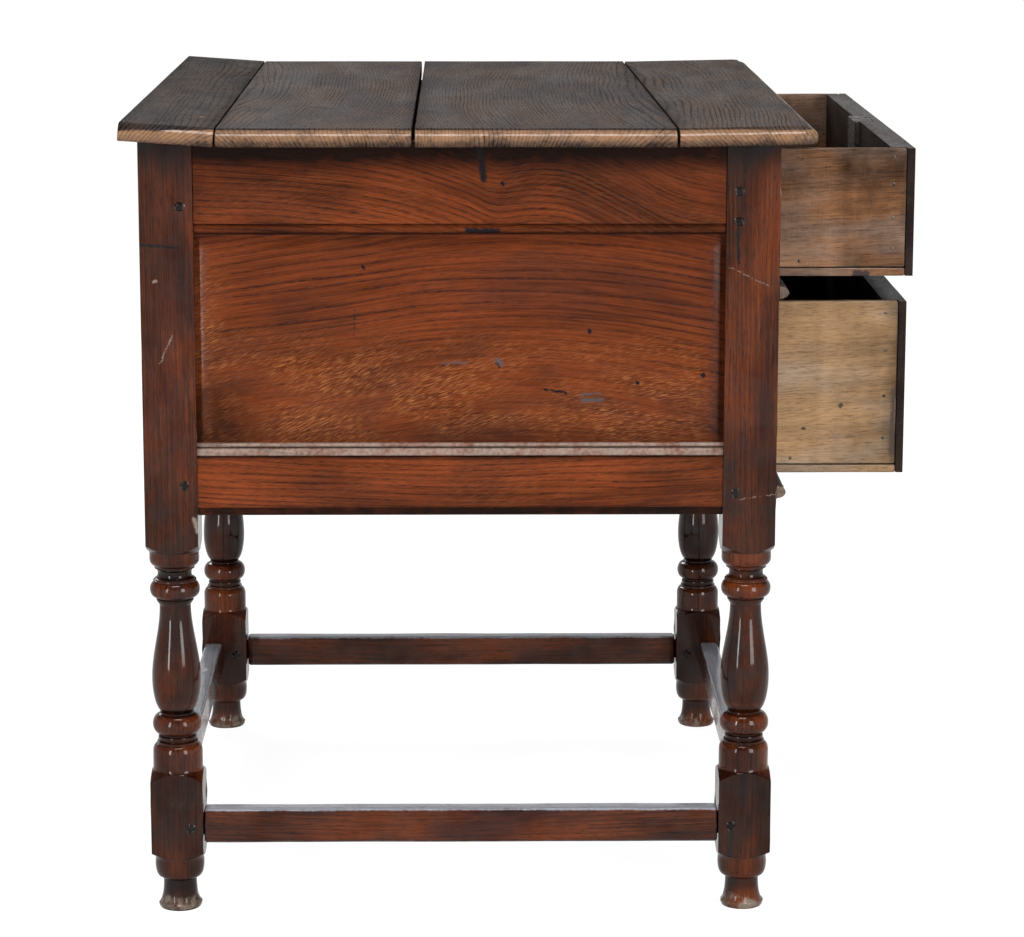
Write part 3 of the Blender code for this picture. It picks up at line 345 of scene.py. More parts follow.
@dataclass(frozen=True)
class OakFinish(Finish):
    """Oak with growth rings, pores, rays, old wax, dirt and rubbed edges, and the painted shade and sheen
    that its mesh asks for.

    Attributes:
        ground: the wood between the rings.
        second: the wood in its other patches.
        ring: the dark line of each ring.
        pore: the open pores.
        ray: the flecks of the medullary rays.
        rubbed: where the surface is worn through, and where a painted sheen is asked for.
        grime: where dirt has built up.
        dust: where it is scuffed to grey.
        ring_gap: the width of a ring.
        ring_show: how much the rings show.
        pore_show: how much the pores show.
        fibre_show: how much the fibres differ in brightness.
        blotch: how much the patches differ in brightness.
        scuff: how much fine scratching runs across the grain.
        ray_turn: how far the rays are turned from the fibres, in radians.
        roughness: how dull the surface is.
        specular: how strongly it reflects.
        coat: how much wax lies on it, in patches.
        coat_roughness: how dull the wax is.
        polish: how much its rubbed edges shine.
        bare_rings: how much the rings show where it is rubbed.
        bump: how rough the grain feels.
        relief: the depth of the grain.
        marks: its cracks, stains, scratches and chips.
    """

    ground: Colour
    second: Colour
    ring: Colour
    pore: Colour
    ray: Colour
    rubbed: Colour
    grime: Colour
    dust: Colour = (0.085, 0.072, 0.075)
    ring_gap: float = 0.0040
    ring_show: float = 0.75
    pore_show: float = 0.6
    fibre_show: float = 0.5
    blotch: float = 0.5
    scuff: float = 0.0
    ray_turn: float = -0.3
    roughness: float = 0.40
    specular: float = 0.06
    coat: float = 0.0
    coat_roughness: float = 0.08
    polish: float = 0.0
    bare_rings: float = 0.3
    bump: float = 0.35
    relief: float = 0.0006
    marks: tuple[Mark, ...] = ()

    def mixed(self) -> bpy.types.Material:
        """Build the oak's nodes.

        Returns:
            The new material.
        """
        bench = NodeBench(self.name)
        log = bench.attribute("log", "Vector")
        dots = bench.step(bench.noise(log, DOTS, 1.0), 0.36, 0.56)
        rings = bench.times(self.rings(bench, log), bench.linear(dots, 0.5, 0.5))
        streaks = bench.noise(log, STREAKS)
        pores = bench.times(bench.step(streaks, 0.52, 0.62), bench.linear(rings, 0.5, 0.5))
        fibre = bench.step(bench.noise(log, FIBRES, 3.0), 0.30, 0.70)
        cloud = bench.step(bench.noise(log, CLOUDS, 4.0), 0.30, 0.70)
        patches = bench.step(bench.noise(log, PATCHES, 5.0), 0.42, 0.62)
        colour = bench.mix(patches, self.ground, self.second)
        colour = bench.mix(bench.times(rings, self.ring_show), colour, self.ring)
        colour = bench.mix(bench.times(pores, self.pore_show), colour, self.pore)
        light = bench.linear(fibre, self.fibre_show, 1.0 - (self.fibre_show + self.blotch) / 2.0)
        light = bench.linear(cloud, self.blotch, light)
        colour = bench.scaled(colour, light)
        colour = bench.mix(self.rays(bench, log), colour, self.ray)
        if self.scuff > 0.0:
            scratch = bench.step(bench.noise(log, SCRATCHES, 3.0), 0.54, 0.68)
            colour = bench.mix(bench.times(scratch, self.scuff), colour, self.rubbed)
        speckle = bench.noise(bench.object_place(), (260.0, 260.0, 260.0), 3.0)
        patch = bench.noise(bench.object_place(), (45.0, 45.0, 45.0), 2.0)
        # Wear brings in the rubbed colour: real wear, and in places a painted sheen.
        rubbed = self.worn(bench, speckle, patch)
        stain = bench.linear(patch, 1.1, 0.45)
        # The mesh's grime darkens the wood: dirt, and painted shade where a piece's tone puts it.
        dirty = bench.times(bench.attribute("grime"), stain, clamp=True)
        bare = bench.mix(bench.times(rings, self.bare_rings), self.rubbed, self.pore)
        colour = bench.mix(rubbed, colour, bare)
        colour = bench.scaled(colour, bench.linear(dirty, -0.92, 1.0))
        dark = self.marked(bench, MarkKind.DARK)
        pale = self.marked(bench, MarkKind.PALE)
        colour = bench.mix(dark, colour, self.grime)
        colour = bench.mix(pale, colour, self.rubbed)
        colour = bench.mix(self.marked(bench, MarkKind.GREY), colour, self.dust)
        dull = bench.linear(pores, 0.25, self.roughness - 0.12)
        dull = bench.linear(cloud, 0.12, dull)
        dull = bench.linear(dirty, 0.15, dull)
        height = bench.linear(pores, -0.8, bench.times(rings, -0.25))
        height = bench.linear(fibre, 0.3, height)
        height = bench.linear(dark, -1.5, height)
        bump = bench.add("Bump", {"Strength": self.bump, "Distance": self.relief, "Height": height})
        waxed = 0.0
        if self.coat + self.polish > 0.0:
            waxed = bench.linear(bench.step(patch, 0.30, 0.66), 0.4 * self.coat, 0.6 * self.coat)
            waxed = bench.linear(rubbed, self.polish, waxed)
        bench.shade({"Base Color": colour, "Roughness": dull, "Normal": bump.outputs[0],
                     "Specular IOR Level": self.specular, "Coat Weight": waxed,
                     "Coat Roughness": self.coat_roughness})
        return bench.material

    def rings(self, bench: NodeBench, log: bpy.types.NodeSocket) -> bpy.types.NodeSocket:
        """The dark lines of the rings, from 0 to 1, at places in the log."""
        heart = bench.vector("LENGTH", bench.vector("MULTIPLY", log, (0.0, 1.0, 1.0)))
        drift = bench.noise(log, RING_DRIFT)
        uneven = bench.noise(log, RING_WIDTHS)
        turns = bench.linear(heart, 1.0 / self.ring_gap, bench.times(uneven, 3.0))
        turns = bench.linear(drift, 0.022 / self.ring_gap, turns)
        part = bench.math("FRACT", turns)
        line = bench.math("SUBTRACT", bench.step(part, 0.88, 1.0), bench.step(part, 0.0, 0.34))
        line = bench.math("ADD", line, 1.0, clamp=True)
        strength = bench.linear(bench.noise(log, RING_STRENGTH), 2.2, -0.45)
        strength = bench.linear(bench.attribute("rays"), -0.8, strength)
        return bench.times(line, strength, clamp=True)

    def rays(self, bench: NodeBench, log: bpy.types.NodeSocket) -> bpy.types.NodeSocket:
        """The share of ray fleck, where the mesh asks for it."""
        turned = bench.add("VectorRotate", {"Vector": log, "Angle": self.ray_turn}, rotation_type="Y_AXIS")
        cloud = bench.noise(turned.outputs[0], RAY_FLECKS, 1.0)
        fleck = bench.step(cloud, 0.50, 0.64)
        broken = bench.step(bench.noise(log, RAY_BREAKS, 3.0), 0.30, 0.62)
        wanted = bench.times(bench.attribute("rays"), broken)
        return bench.times(fleck, wanted, clamp=True)

    @staticmethod
    def worn(bench: NodeBench, fine: object, broad: object) -> bpy.types.NodeSocket:
        """The share of wear that the mesh asks for, broken up by fine and broad noise."""
        rough = bench.times(bench.math("ADD", fine, broad), 0.9)
        wear = bench.attribute("wear")
        lifted = bench.math("ADD", wear, bench.math("SUBTRACT", rough, 1.2))
        return bench.times(bench.step(lifted, -0.15, 0.75), bench.step(wear, 0.05, 0.35))

    def marked(self, bench: NodeBench, kind: MarkKind) -> bpy.types.NodeSocket | float:
        """The share of a kind of mark at each place on the table."""
        chosen = [mark for mark in self.marks if mark.kind is kind]
        if not chosen:
            return 0.0
        total = 0.0
        place = bench.object_place()
        wobble = bench.add("TexNoise", {"Vector": place, "Scale": 260.0, "Detail": 2.0}).outputs["Color"]
        wobble = bench.scaled(bench.vector("SUBTRACT", wobble, (0.5, 0.5, 0.5)), 0.004)
        place = bench.vector("ADD", place, wobble)
        for mark in chosen:
            run = Vector(mark.end) - Vector(mark.start)
            offset = bench.vector("SUBTRACT", place, mark.start)
            share = bench.vector("DOT_PRODUCT", offset, tuple(run / run.length_squared))
            share = bench.math("MINIMUM", bench.math("MAXIMUM", share, 0.0), 1.0)
            gap = bench.vector("DISTANCE", offset, bench.scaled(tuple(run), share))
            total = bench.math("MAXIMUM", total, bench.step(gap, mark.reach, mark.reach * mark.core))
        return total


@dataclass(frozen=True)
class MetalFinish(Finish):
    """Old metal: a bright colour under a dull, uneven skin.

    Attributes:
        bright: the metal where it is rubbed.
        dull: the metal under its skin.
        skin: how much of the skin is left, from 0 to 1.
        roughness: how dull the surface is.
        metallic: how much it shines like metal.
        bump: how rough its pits feel.
        relief: the depth of its pits.
    """

    bright: Colour
    dull: Colour
    skin: float = 0.5
    roughness: float = 0.4
    metallic: float = 0.9
    bump: float = 0.25
    relief: float = 0.0003

    def mixed(self) -> bpy.types.Material:
        """Build the metal's nodes.

        Returns:
            The new material.
        """
        bench = NodeBench(self.name)
        place = bench.object_place()
        cloud = bench.noise(place, (170.0, 170.0, 170.0), 4.0)
        pits = bench.noise(place, (900.0, 900.0, 900.0), 2.0)
        skin = bench.step(cloud, 0.72 - 0.5 * self.skin, 0.92 - 0.5 * self.skin)
        colour = bench.mix(skin, self.bright, self.dull)
        dull = bench.linear(skin, 0.25, self.roughness - 0.1)
        bump = bench.add("Bump", {"Strength": self.bump, "Distance": self.relief, "Height": pits})
        bench.shade({"Base Color": colour, "Roughness": dull, "Normal": bump.outputs[0],
                     "Metallic": self.metallic})
        return bench.material


def in_plane(kind: MarkKind, x: float, *rows: tuple) -> tuple[Mark, ...]:
    """Marks of one kind in a plane across the table.

    Args:
        kind: darker, paler or greyer than the wood.
        x: where the plane is.
        rows: each mark's ends, as places along Y and Z, then its reach and, if it is its own, its core.

    Returns:
        The marks, in the order of the rows.
    """
    return tuple(Mark(kind, (x, *start), (x, *end), *size) for start, end, *size in rows)


LEG_FACE, RAIL_FACE, RAIL_MOULDING, PANEL_FACE, DRAWER_FACE = -0.350, -0.3485, -0.3470, -0.3435, -0.298
LEG_MARKS = (
    *in_plane(MarkKind.DARK, LEG_FACE,
              ((0.3660, 0.6474), (0.3290, 0.6450), 0.0015),
              ((-0.1902, 0.6640), (-0.1916, 0.6304), 0.0018),
              ((-0.1921, 0.0800), (-0.1906, 0.0437), 0.0020)),
    *in_plane(MarkKind.PALE, LEG_FACE,
              ((0.3470, 0.5360), (0.3355, 0.5620), 0.0011, 0.0),
              ((0.3512, 0.6128), (0.3500, 0.6140), 0.0022),
              ((-0.1823, 0.6267), (-0.2198, 0.6088), 0.0007, 0.0),
              ((-0.1964, 0.4062), (-0.2296, 0.4110), 0.0008, 0.0),
              ((0.3180, 0.3880), (0.3150, 0.3760), 0.0028, 0.1)),
)
CASE_MARKS = (
    *in_plane(MarkKind.DARK, RAIL_FACE,
              ((0.0491, 0.7420), (0.0455, 0.7080), 0.0050, 0.2),
              ((0.0279, 0.7043), (0.0270, 0.7035), 0.0028)),
    *in_plane(MarkKind.DARK, RAIL_MOULDING,
              ((0.0600, 0.6600), (0.0330, 0.6590), 0.0050, 0.3)),
    *in_plane(MarkKind.DARK, PANEL_FACE,
              ((0.0336, 0.5346), (0.0310, 0.5320), 0.0022, 0.2),
              ((-0.0105, 0.5108), (-0.0312, 0.5069), 0.0015),
              ((0.1572, 0.6265), (0.1572, 0.6260), 0.0030),
              ((-0.0535, 0.5657), (-0.0535, 0.5650), 0.0026),
              ((-0.0987, 0.5163), (-0.0987, 0.5157), 0.0030),
              ((-0.1600, 0.5237), (-0.1605, 0.5230), 0.0030),
              ((0.1660, 0.5870), (0.1664, 0.5600), 0.0009, 0.0)),
    *in_plane(MarkKind.GREY, PANEL_FACE,
              ((0.0326, 0.5376), (0.0290, 0.5350), 0.0046, 0.0),
              ((0.0830, 0.5352), (0.0610, 0.5362), 0.0018, 0.0),
              ((-0.0472, 0.4995), (-0.0656, 0.5005), 0.0034, 0.0),
              ((-0.0452, 0.5055), (-0.0636, 0.5060), 0.0016, 0.0)),
)
TOP_MARKS = (
    Mark(MarkKind.DARK, (-0.1857, 0.2070, 0.760), (-0.2073, 0.1890, 0.760), 0.0080, 0.3),
    Mark(MarkKind.DARK, (-0.3503, 0.0877, 0.760), (-0.3490, 0.0877, 0.760), 0.0030),
    Mark(MarkKind.PALE, (-0.2980, 0.3089, 0.760), (-0.2960, 0.3089, 0.762), 0.0030),
)
UPPER_MARKS = (
    *in_plane(MarkKind.DARK, DRAWER_FACE,
              ((-0.3165, 0.6128), (-0.3060, 0.6128), 0.0040, 0.5)),
)
LOWER_MARKS = (
    *in_plane(MarkKind.DARK, DRAWER_FACE,
              ((-0.2951, 0.4866), (-0.2940, 0.4860), 0.0030),
              ((-0.2600, 0.4640), (-0.2590, 0.4640), 0.0022),
              ((-0.3450, 0.5000), (-0.3440, 0.4400), 0.0040, 0.1)),
)

CASE = OakFinish("waxed_oak_case", "oak_case", ground=(0.158, 0.035, 0.010), second=(0.112, 0.028, 0.011),
                 ring=(0.020, 0.008, 0.007), pore=(0.016, 0.006, 0.005), ray=(0.36, 0.132, 0.040),
                 rubbed=(0.38, 0.30, 0.26), grime=(0.010, 0.008, 0.010), ring_gap=0.0078, ring_show=0.85,
                 fibre_show=0.5, blotch=0.32, roughness=0.32, coat=0.06, marks=CASE_MARKS)
# Its rubbed colour also paints the pale sheen on the lower rail's sill.
RAIL = OakFinish("waxed_oak_rail", "oak_case", ground=(0.166, 0.036, 0.010), second=(0.116, 0.027, 0.009),
                 ring=(0.018, 0.008, 0.005), pore=(0.014, 0.006, 0.005), ray=(0.40, 0.16, 0.055),
                 rubbed=(0.32, 0.25, 0.21), grime=(0.010, 0.008, 0.010), ring_gap=0.0050, ring_show=0.85,
                 pore_show=0.75, fibre_show=0.5, blotch=0.6, roughness=0.32, coat=0.06, marks=CASE_MARKS)
LEG = OakFinish("waxed_oak_leg", "oak_leg", ground=(0.118, 0.026, 0.006), second=(0.052, 0.012, 0.005),
                ring=(0.016, 0.006, 0.005), pore=(0.006, 0.003, 0.003), ray=(0.22, 0.10, 0.05),
                rubbed=(0.24, 0.185, 0.145), grime=(0.008, 0.006, 0.007), ring_gap=0.0044, ring_show=0.45,
                pore_show=0.8, fibre_show=0.6, blotch=1.0, roughness=0.26, specular=0.02, coat=0.45,
                marks=LEG_MARKS)
STRETCHER = replace(LEG, name="waxed_oak_stretcher", rubbed=(0.33, 0.34, 0.38), marks=())
TOP = OakFinish("waxed_oak_top", "oak_top", ground=(0.070, 0.047, 0.036), second=(0.046, 0.037, 0.036),
                ring=(0.005, 0.005, 0.006), pore=(0.010, 0.008, 0.009), ray=(0.12, 0.09, 0.07),
                rubbed=(0.27, 0.146, 0.078), grime=(0.008, 0.007, 0.007), ring_gap=0.0034, ring_show=1.5,
                pore_show=0.4, fibre_show=0.35, blotch=0.3, roughness=0.46, specular=0.006, polish=0.45,
                bare_rings=0.75, marks=TOP_MARKS)
# The drawers' colours are set a little light, so that with the painted shade at a side's front end they paint
# light over the back of the side, which the leg shades.
UPPER_DRAWER = OakFinish("dry_oak_upper_drawer", "oak_drawer", ground=(0.262, 0.166, 0.118),
                         second=(0.320, 0.146, 0.066), ring=(0.140, 0.078, 0.052),
                         pore=(0.060, 0.036, 0.026), ray=(0.40, 0.22, 0.11), rubbed=(0.44, 0.36, 0.29),
                         grime=(0.050, 0.036, 0.032), ring_gap=0.0042, ring_show=0.4, pore_show=0.75,
                         fibre_show=0.3, blotch=0.8, scuff=0.18, roughness=0.68, specular=0.04,
                         marks=UPPER_MARKS)
LOWER_DRAWER = OakFinish("dry_oak_lower_drawer", "oak_drawer", ground=(0.430, 0.308, 0.208),
                         second=(0.480, 0.288, 0.146), ring=(0.270, 0.172, 0.104),
                         pore=(0.095, 0.060, 0.040), ray=(0.44, 0.29, 0.18), rubbed=(0.49, 0.40, 0.32),
                         grime=(0.070, 0.050, 0.040), ring_gap=0.0042, ring_show=0.3, pore_show=0.75,
                         fibre_show=0.22, blotch=0.45, scuff=0.18, roughness=0.72, specular=0.06,
                         marks=LOWER_MARKS)
FRONT = OakFinish("waxed_oak_front", "oak_case", ground=(0.052, 0.030, 0.024), second=(0.032, 0.021, 0.019),
                  ring=(0.018, 0.012, 0.010), pore=(0.012, 0.009, 0.008), ray=(0.18, 0.11, 0.07),
                  rubbed=(0.24, 0.17, 0.13), grime=(0.016, 0.014, 0.015), ring_gap=0.0040, blotch=0.7,
                  roughness=0.38, specular=0.04, coat=0.06)
INNER = OakFinish("dry_oak_inner", "oak_case", ground=(0.150, 0.082, 0.044), second=(0.110, 0.056, 0.028),
                  ring=(0.065, 0.036, 0.022), pore=(0.035, 0.022, 0.016), ray=(0.22, 0.13, 0.08),
                  rubbed=(0.26, 0.18, 0.12), grime=(0.030, 0.023, 0.020), scuff=0.2, roughness=0.72,
                  specular=0.15)
IRON = MetalFinish("old_iron", "iron", bright=(0.110, 0.098, 0.090), dull=(0.030, 0.022, 0.018), skin=0.6,
                   roughness=0.52)
BRASS = MetalFinish("old_brass", "brass", bright=(0.50, 0.33, 0.12), dull=(0.13, 0.080, 0.030), skin=0.45,
                    roughness=0.34)


class MeshBench:
    """A mesh in the making, with the steps that a joiner's piece goes through."""

    def __init__(self, bm: bmesh.types.BMesh) -> None:
        """Take over a started bmesh.

        Args:
            bm: the bmesh to work on.
        """
        self.bm = bm
        # The grime layer carries dirt and, on some pieces, painted shade; the wear and rays layers also carry
        # a painted sheen in a few places.
        for name in ("wear", "grime", "rays"):
            bm.verts.layers.float.new(name)
        bm.verts.layers.float_vector.new("log")

    @classmethod
    def from_node(cls, node: str) -> "MeshBench":
        """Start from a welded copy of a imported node, with its flat faces made whole."""
        bm = bmesh.new()
        bm.from_mesh(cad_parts[node].data)
        bmesh.ops.remove_doubles(bm, verts=bm.verts, dist=WELD)
        bmesh.ops.dissolve_limit(bm, angle_limit=FLAT_ANGLE, verts=bm.verts, edges=bm.edges)
        for layers in (bm.verts.layers, bm.faces.layers, bm.loops.layers):
            for kind in (layers.float, layers.int):
                for layer in list(kind.values()):
                    kind.remove(layer)
        return cls(bm)

    @classmethod
    def run(cls, section: Sequence[Flat], place: Matrix, length: float, steps: int) -> "MeshBench":
        """Start from a section drawn out in a line.

        Args:
            section: the outline, which place lays into the table.
            place: where the section's two axes and the run lie.
            length: how far the section is drawn out.
            steps: how many lengths it is divided into.

        Returns:
            The new bench.
        """
        bm = bmesh.new()
        cap = bm.faces.new([bm.verts.new((u, v, 0.0)) for u, v in section])
        made = bmesh.ops.extrude_face_region(bm, geom=[cap])["geom"]
        far = [item for item in made if isinstance(item, bmesh.types.BMVert)]
        bmesh.ops.translate(bm, verts=far, vec=(0.0, 0.0, length))
        bmesh.ops.recalc_face_normals(bm, faces=bm.faces)
        return cls(bm).cut(Axis.Z, length / steps).move(place)

    @classmethod
    def turned(cls, profile: Sequence[Flat], steps: int) -> "MeshBench":
        """Start from a profile of radii and heights, turned about Z."""
        bm = bmesh.new()
        verts = [bm.verts.new((radius, 0.0, height)) for radius, height in profile]
        edges = [bm.edges.new(pair) for pair in zip(verts, verts[1:])]
        bmesh.ops.spin(bm, geom=verts + edges, axis=(0.0, 0.0, 1.0), cent=(0.0, 0.0, 0.0),
                       angle=math.tau, steps=steps, use_merge=True)
        bmesh.ops.remove_doubles(bm, verts=bm.verts, dist=WELD)
        bmesh.ops.recalc_face_normals(bm, faces=bm.faces)
        return cls(bm)

    @staticmethod
    def joined(benches: Sequence["MeshBench"]) -> "MeshBench":
        """The first of several benches, with the others added to it in their order."""
        first, *others = benches
        for other in others:
            first.merge(other)
        return first

    @property
    def all(self) -> list:
        """Everything in the bmesh."""
        return [*self.bm.verts, *self.bm.edges, *self.bm.faces]

    def extent(self) -> tuple[Vector, Vector]:
        """The lowest and highest corners of the mesh."""
        places = [vert.co for vert in self.bm.verts]
        low = Vector([min(place[index] for place in places) for index in range(3)])
        high = Vector([max(place[index] for place in places) for index in range(3)])
        return low, high

    def move(self, matrix: Matrix) -> "MeshBench":
        """Move or turn the whole mesh."""
        bmesh.ops.transform(self.bm, verts=self.bm.verts, matrix=matrix)
        return self

    def merge(self, other: "MeshBench") -> "MeshBench":
        """Add another bench's mesh to this one."""
        spare = bpy.data.meshes.new("spare")
        other.bm.to_mesh(spare)
        other.bm.free()
        self.bm.from_mesh(spare)
        bpy.data.meshes.remove(spare)
        return self

    def cut(self, axis: Axis, spacing: float) -> "MeshBench":
        """Add edge loops square to an axis, so that tone and wear can change along it."""
        low, high = self.extent()
        count = max(1, round((high - low)[axis.value] / spacing))
        for step in range(1, count):
            bmesh.ops.bisect_plane(self.bm, geom=self.all, dist=WELD, plane_no=axis.vector,
                                   plane_co=low.lerp(high, step / count))
        return self

    def trim(self, point: Vector, outward: Vector) -> "MeshBench":
        """Saw off all that lies outside a plane, and close the cut."""
        cut = bmesh.ops.bisect_plane(self.bm, geom=self.all, dist=WELD, plane_co=point, plane_no=outward,
                                     clear_outer=True)["geom_cut"]
        rim = [item for item in cut if isinstance(item, bmesh.types.BMEdge)]
        bmesh.ops.holes_fill(self.bm, edges=rim, sides=0)
        bmesh.ops.recalc_face_normals(self.bm, faces=self.bm.faces)
        return self

    def soften(self, width: float, least: float = 30.0, segments: int = 2,
               wanted: Callable[[bmesh.types.BMEdge], bool] = lambda edge: True) -> "MeshBench":
        """Round the outer edges, and note the rounding as worn.

        Args:
            width: how far the rounding reaches from each edge.
            least: the angle between faces from which an edge counts, in degrees.
            segments: how many faces the rounding has.
            wanted: says whether an edge is to be rounded.

        Returns:
            This bench.
        """
        edges = [edge for edge in self.bm.edges if edge.is_manifold and edge.is_convex
                 and edge.calc_face_angle(0.0) > math.radians(least) and wanted(edge)]
        made = bmesh.ops.bevel(self.bm, geom=edges, offset=width, offset_type="OFFSET", affect="EDGES",
                               segments=segments, profile=0.5, material=-1, clamp_overlap=True)
        wear = self.bm.verts.layers.float["wear"]
        strips = set(made["faces"])
        for vert in made["verts"]:
            vert[wear] = float(all(face in strips for face in vert.link_faces))
        return self

    def wander(self, depth: float, size: float, seed: float, edges: float = 1.0) -> "MeshBench":
        """Wear the surface down unevenly, and its worn edges by more.

        Args:
            depth: the most that a plain face loses.
            size: how broad the hollows are.
            seed: which pattern of hollows.
            edges: how many times more a worn edge loses.

        Returns:
            This bench.
        """
        self.bm.normal_update()
        wear = self.bm.verts.layers.float["wear"]
        shift = Vector([stride * seed for stride in NOISE_STRIDE])
        for vert in self.bm.verts:
            loss = 0.5 + 0.5 * noise.noise(vert.co / size + shift)
            vert.co -= vert.normal * depth * loss * (1.0 + edges * vert[wear])
        return self

    def dent(self, point: Spot, reach: float, depth: float) -> "MeshBench":
        """Press the surface in round a point, and note it as worn."""
        wear = self.bm.verts.layers.float["wear"]
        centre = Vector(point)
        self.bm.normal_update()
        for vert in self.bm.verts:
            share = fade((vert.co - centre).length, 0.0, reach)
            if share > 0.0:
                vert.co -= vert.normal * depth * share
                vert[wear] = max(vert[wear], 0.3 * share)
        return self

    def tone(self, paint: Callable[[Vector, float], Tone]) -> "MeshBench":
        """Set each vertex's wear, dirt and painted shade, and rays, from its place and its present wear."""
        layers = self.bm.verts.layers.float
        wear, grime, rays = layers["wear"], layers["grime"], layers["rays"]
        for vert in self.bm.verts:
            vert[wear], vert[grime], vert[rays] = paint(vert.co, vert[wear])
        return self

    def lay(self, grain: Grain) -> "MeshBench":
        """Note where each vertex lies in the log."""
        log = self.bm.verts.layers.float_vector["log"]
        low, high = self.extent()
        for vert in self.bm.verts:
            vert[log] = grain.place(vert.co, (low + high) / 2.0, (high - low) / 2.0)
        return self

    def piece(self, name: str, body: str, finish: Finish, *replaced: str) -> bpy.types.Object:
        """Finish the mesh as a piece of the table.

        Args:
            name: what the piece is called.
            body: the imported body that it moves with.
            finish: its material.
            replaced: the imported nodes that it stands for.

        Returns:
            The new object.
        """
        bmesh.ops.recalc_face_normals(self.bm, faces=self.bm.faces)
        mesh = bpy.data.meshes.new(name)
        self.bm.to_mesh(mesh)
        self.bm.free()
        mesh.shade_smooth()
        mesh.set_sharp_from_angle(angle=SMOOTH_ANGLE)
        mesh.materials.append(finish.material())
        made = bpy.data.objects.new(name, mesh)
        bpy.context.scene.collection.objects.link(made)
        level = made.modifiers.new("level_faces", "WEIGHTED_NORMAL")
        level.keep_sharp = True
        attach(made, body)
        if replaced:
            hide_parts(*replaced)
        LOG.info("%s: %d faces on %s", name, len(mesh.polygons), body)
        return made


def axes(u: Spot, v: Spot, origin: Vector) -> Matrix:
    """A matrix that lays a section's two axes along u and v, and its run along their cross product."""
    first, second = Vector(u), Vector(v)
    third = first.cross(second)
    turn = Matrix((first, second, third)).transposed().to_4x4()
    return Matrix.Translation(origin) @ turn


def aimed(spot: Vector, outward: Vector) -> Matrix:
    """A matrix that stands something made about Z on a face that looks outward."""
    return Matrix.Translation(spot) @ Axis.Z.vector.rotation_difference(outward).to_matrix().to_4x4()


def plain_tone(grime: float, wear: float) -> Callable[[Vector, float], Tone]:
    """A tone that keeps the noted wear over an even dirt.

    Args:
        grime: how dirty the piece is.
        wear: what the noted wear is multiplied by.

    Returns:
        A function for MeshBench.tone.
    """
    return lambda place, worn: (worn * wear, grime, 0.0)


@dataclass(frozen=True)
class PlainBoard:
    """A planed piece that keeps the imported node's shape, with worn edges.

    Attributes:
        node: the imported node.
        body: the body that it moves with.
        finish: its material.
        grain: how it lay in its log.
        spacing: the spacing of the edge loops along the grain.
        edge: how far its edges are rounded.
        hollow: how uneven its faces are.
        grime: how dirty it is.
        wear: how much its edges show.
    """

    node: str
    body: str
    finish: OakFinish
    grain: Grain
    spacing: float = 0.014
    edge: float = 0.0010
    hollow: float = 0.0003
    grime: float = 0.2
    wear: float = 1.0

    def bench(self) -> MeshBench:
        """The shaped and worn mesh, before its tone."""
        bench = MeshBench.from_node(self.node).cut(self.grain.fibre, self.spacing)
        return bench.soften(self.edge).wander(self.hollow, 0.05, self.grain.seed, 2.0)

    def build(self) -> None:
        """Make the piece."""
        bench = self.bench().tone(plain_tone(self.grime, self.wear)).lay(self.grain)
        bench.piece("worn_" + self.node, self.body, self.finish, self.node)


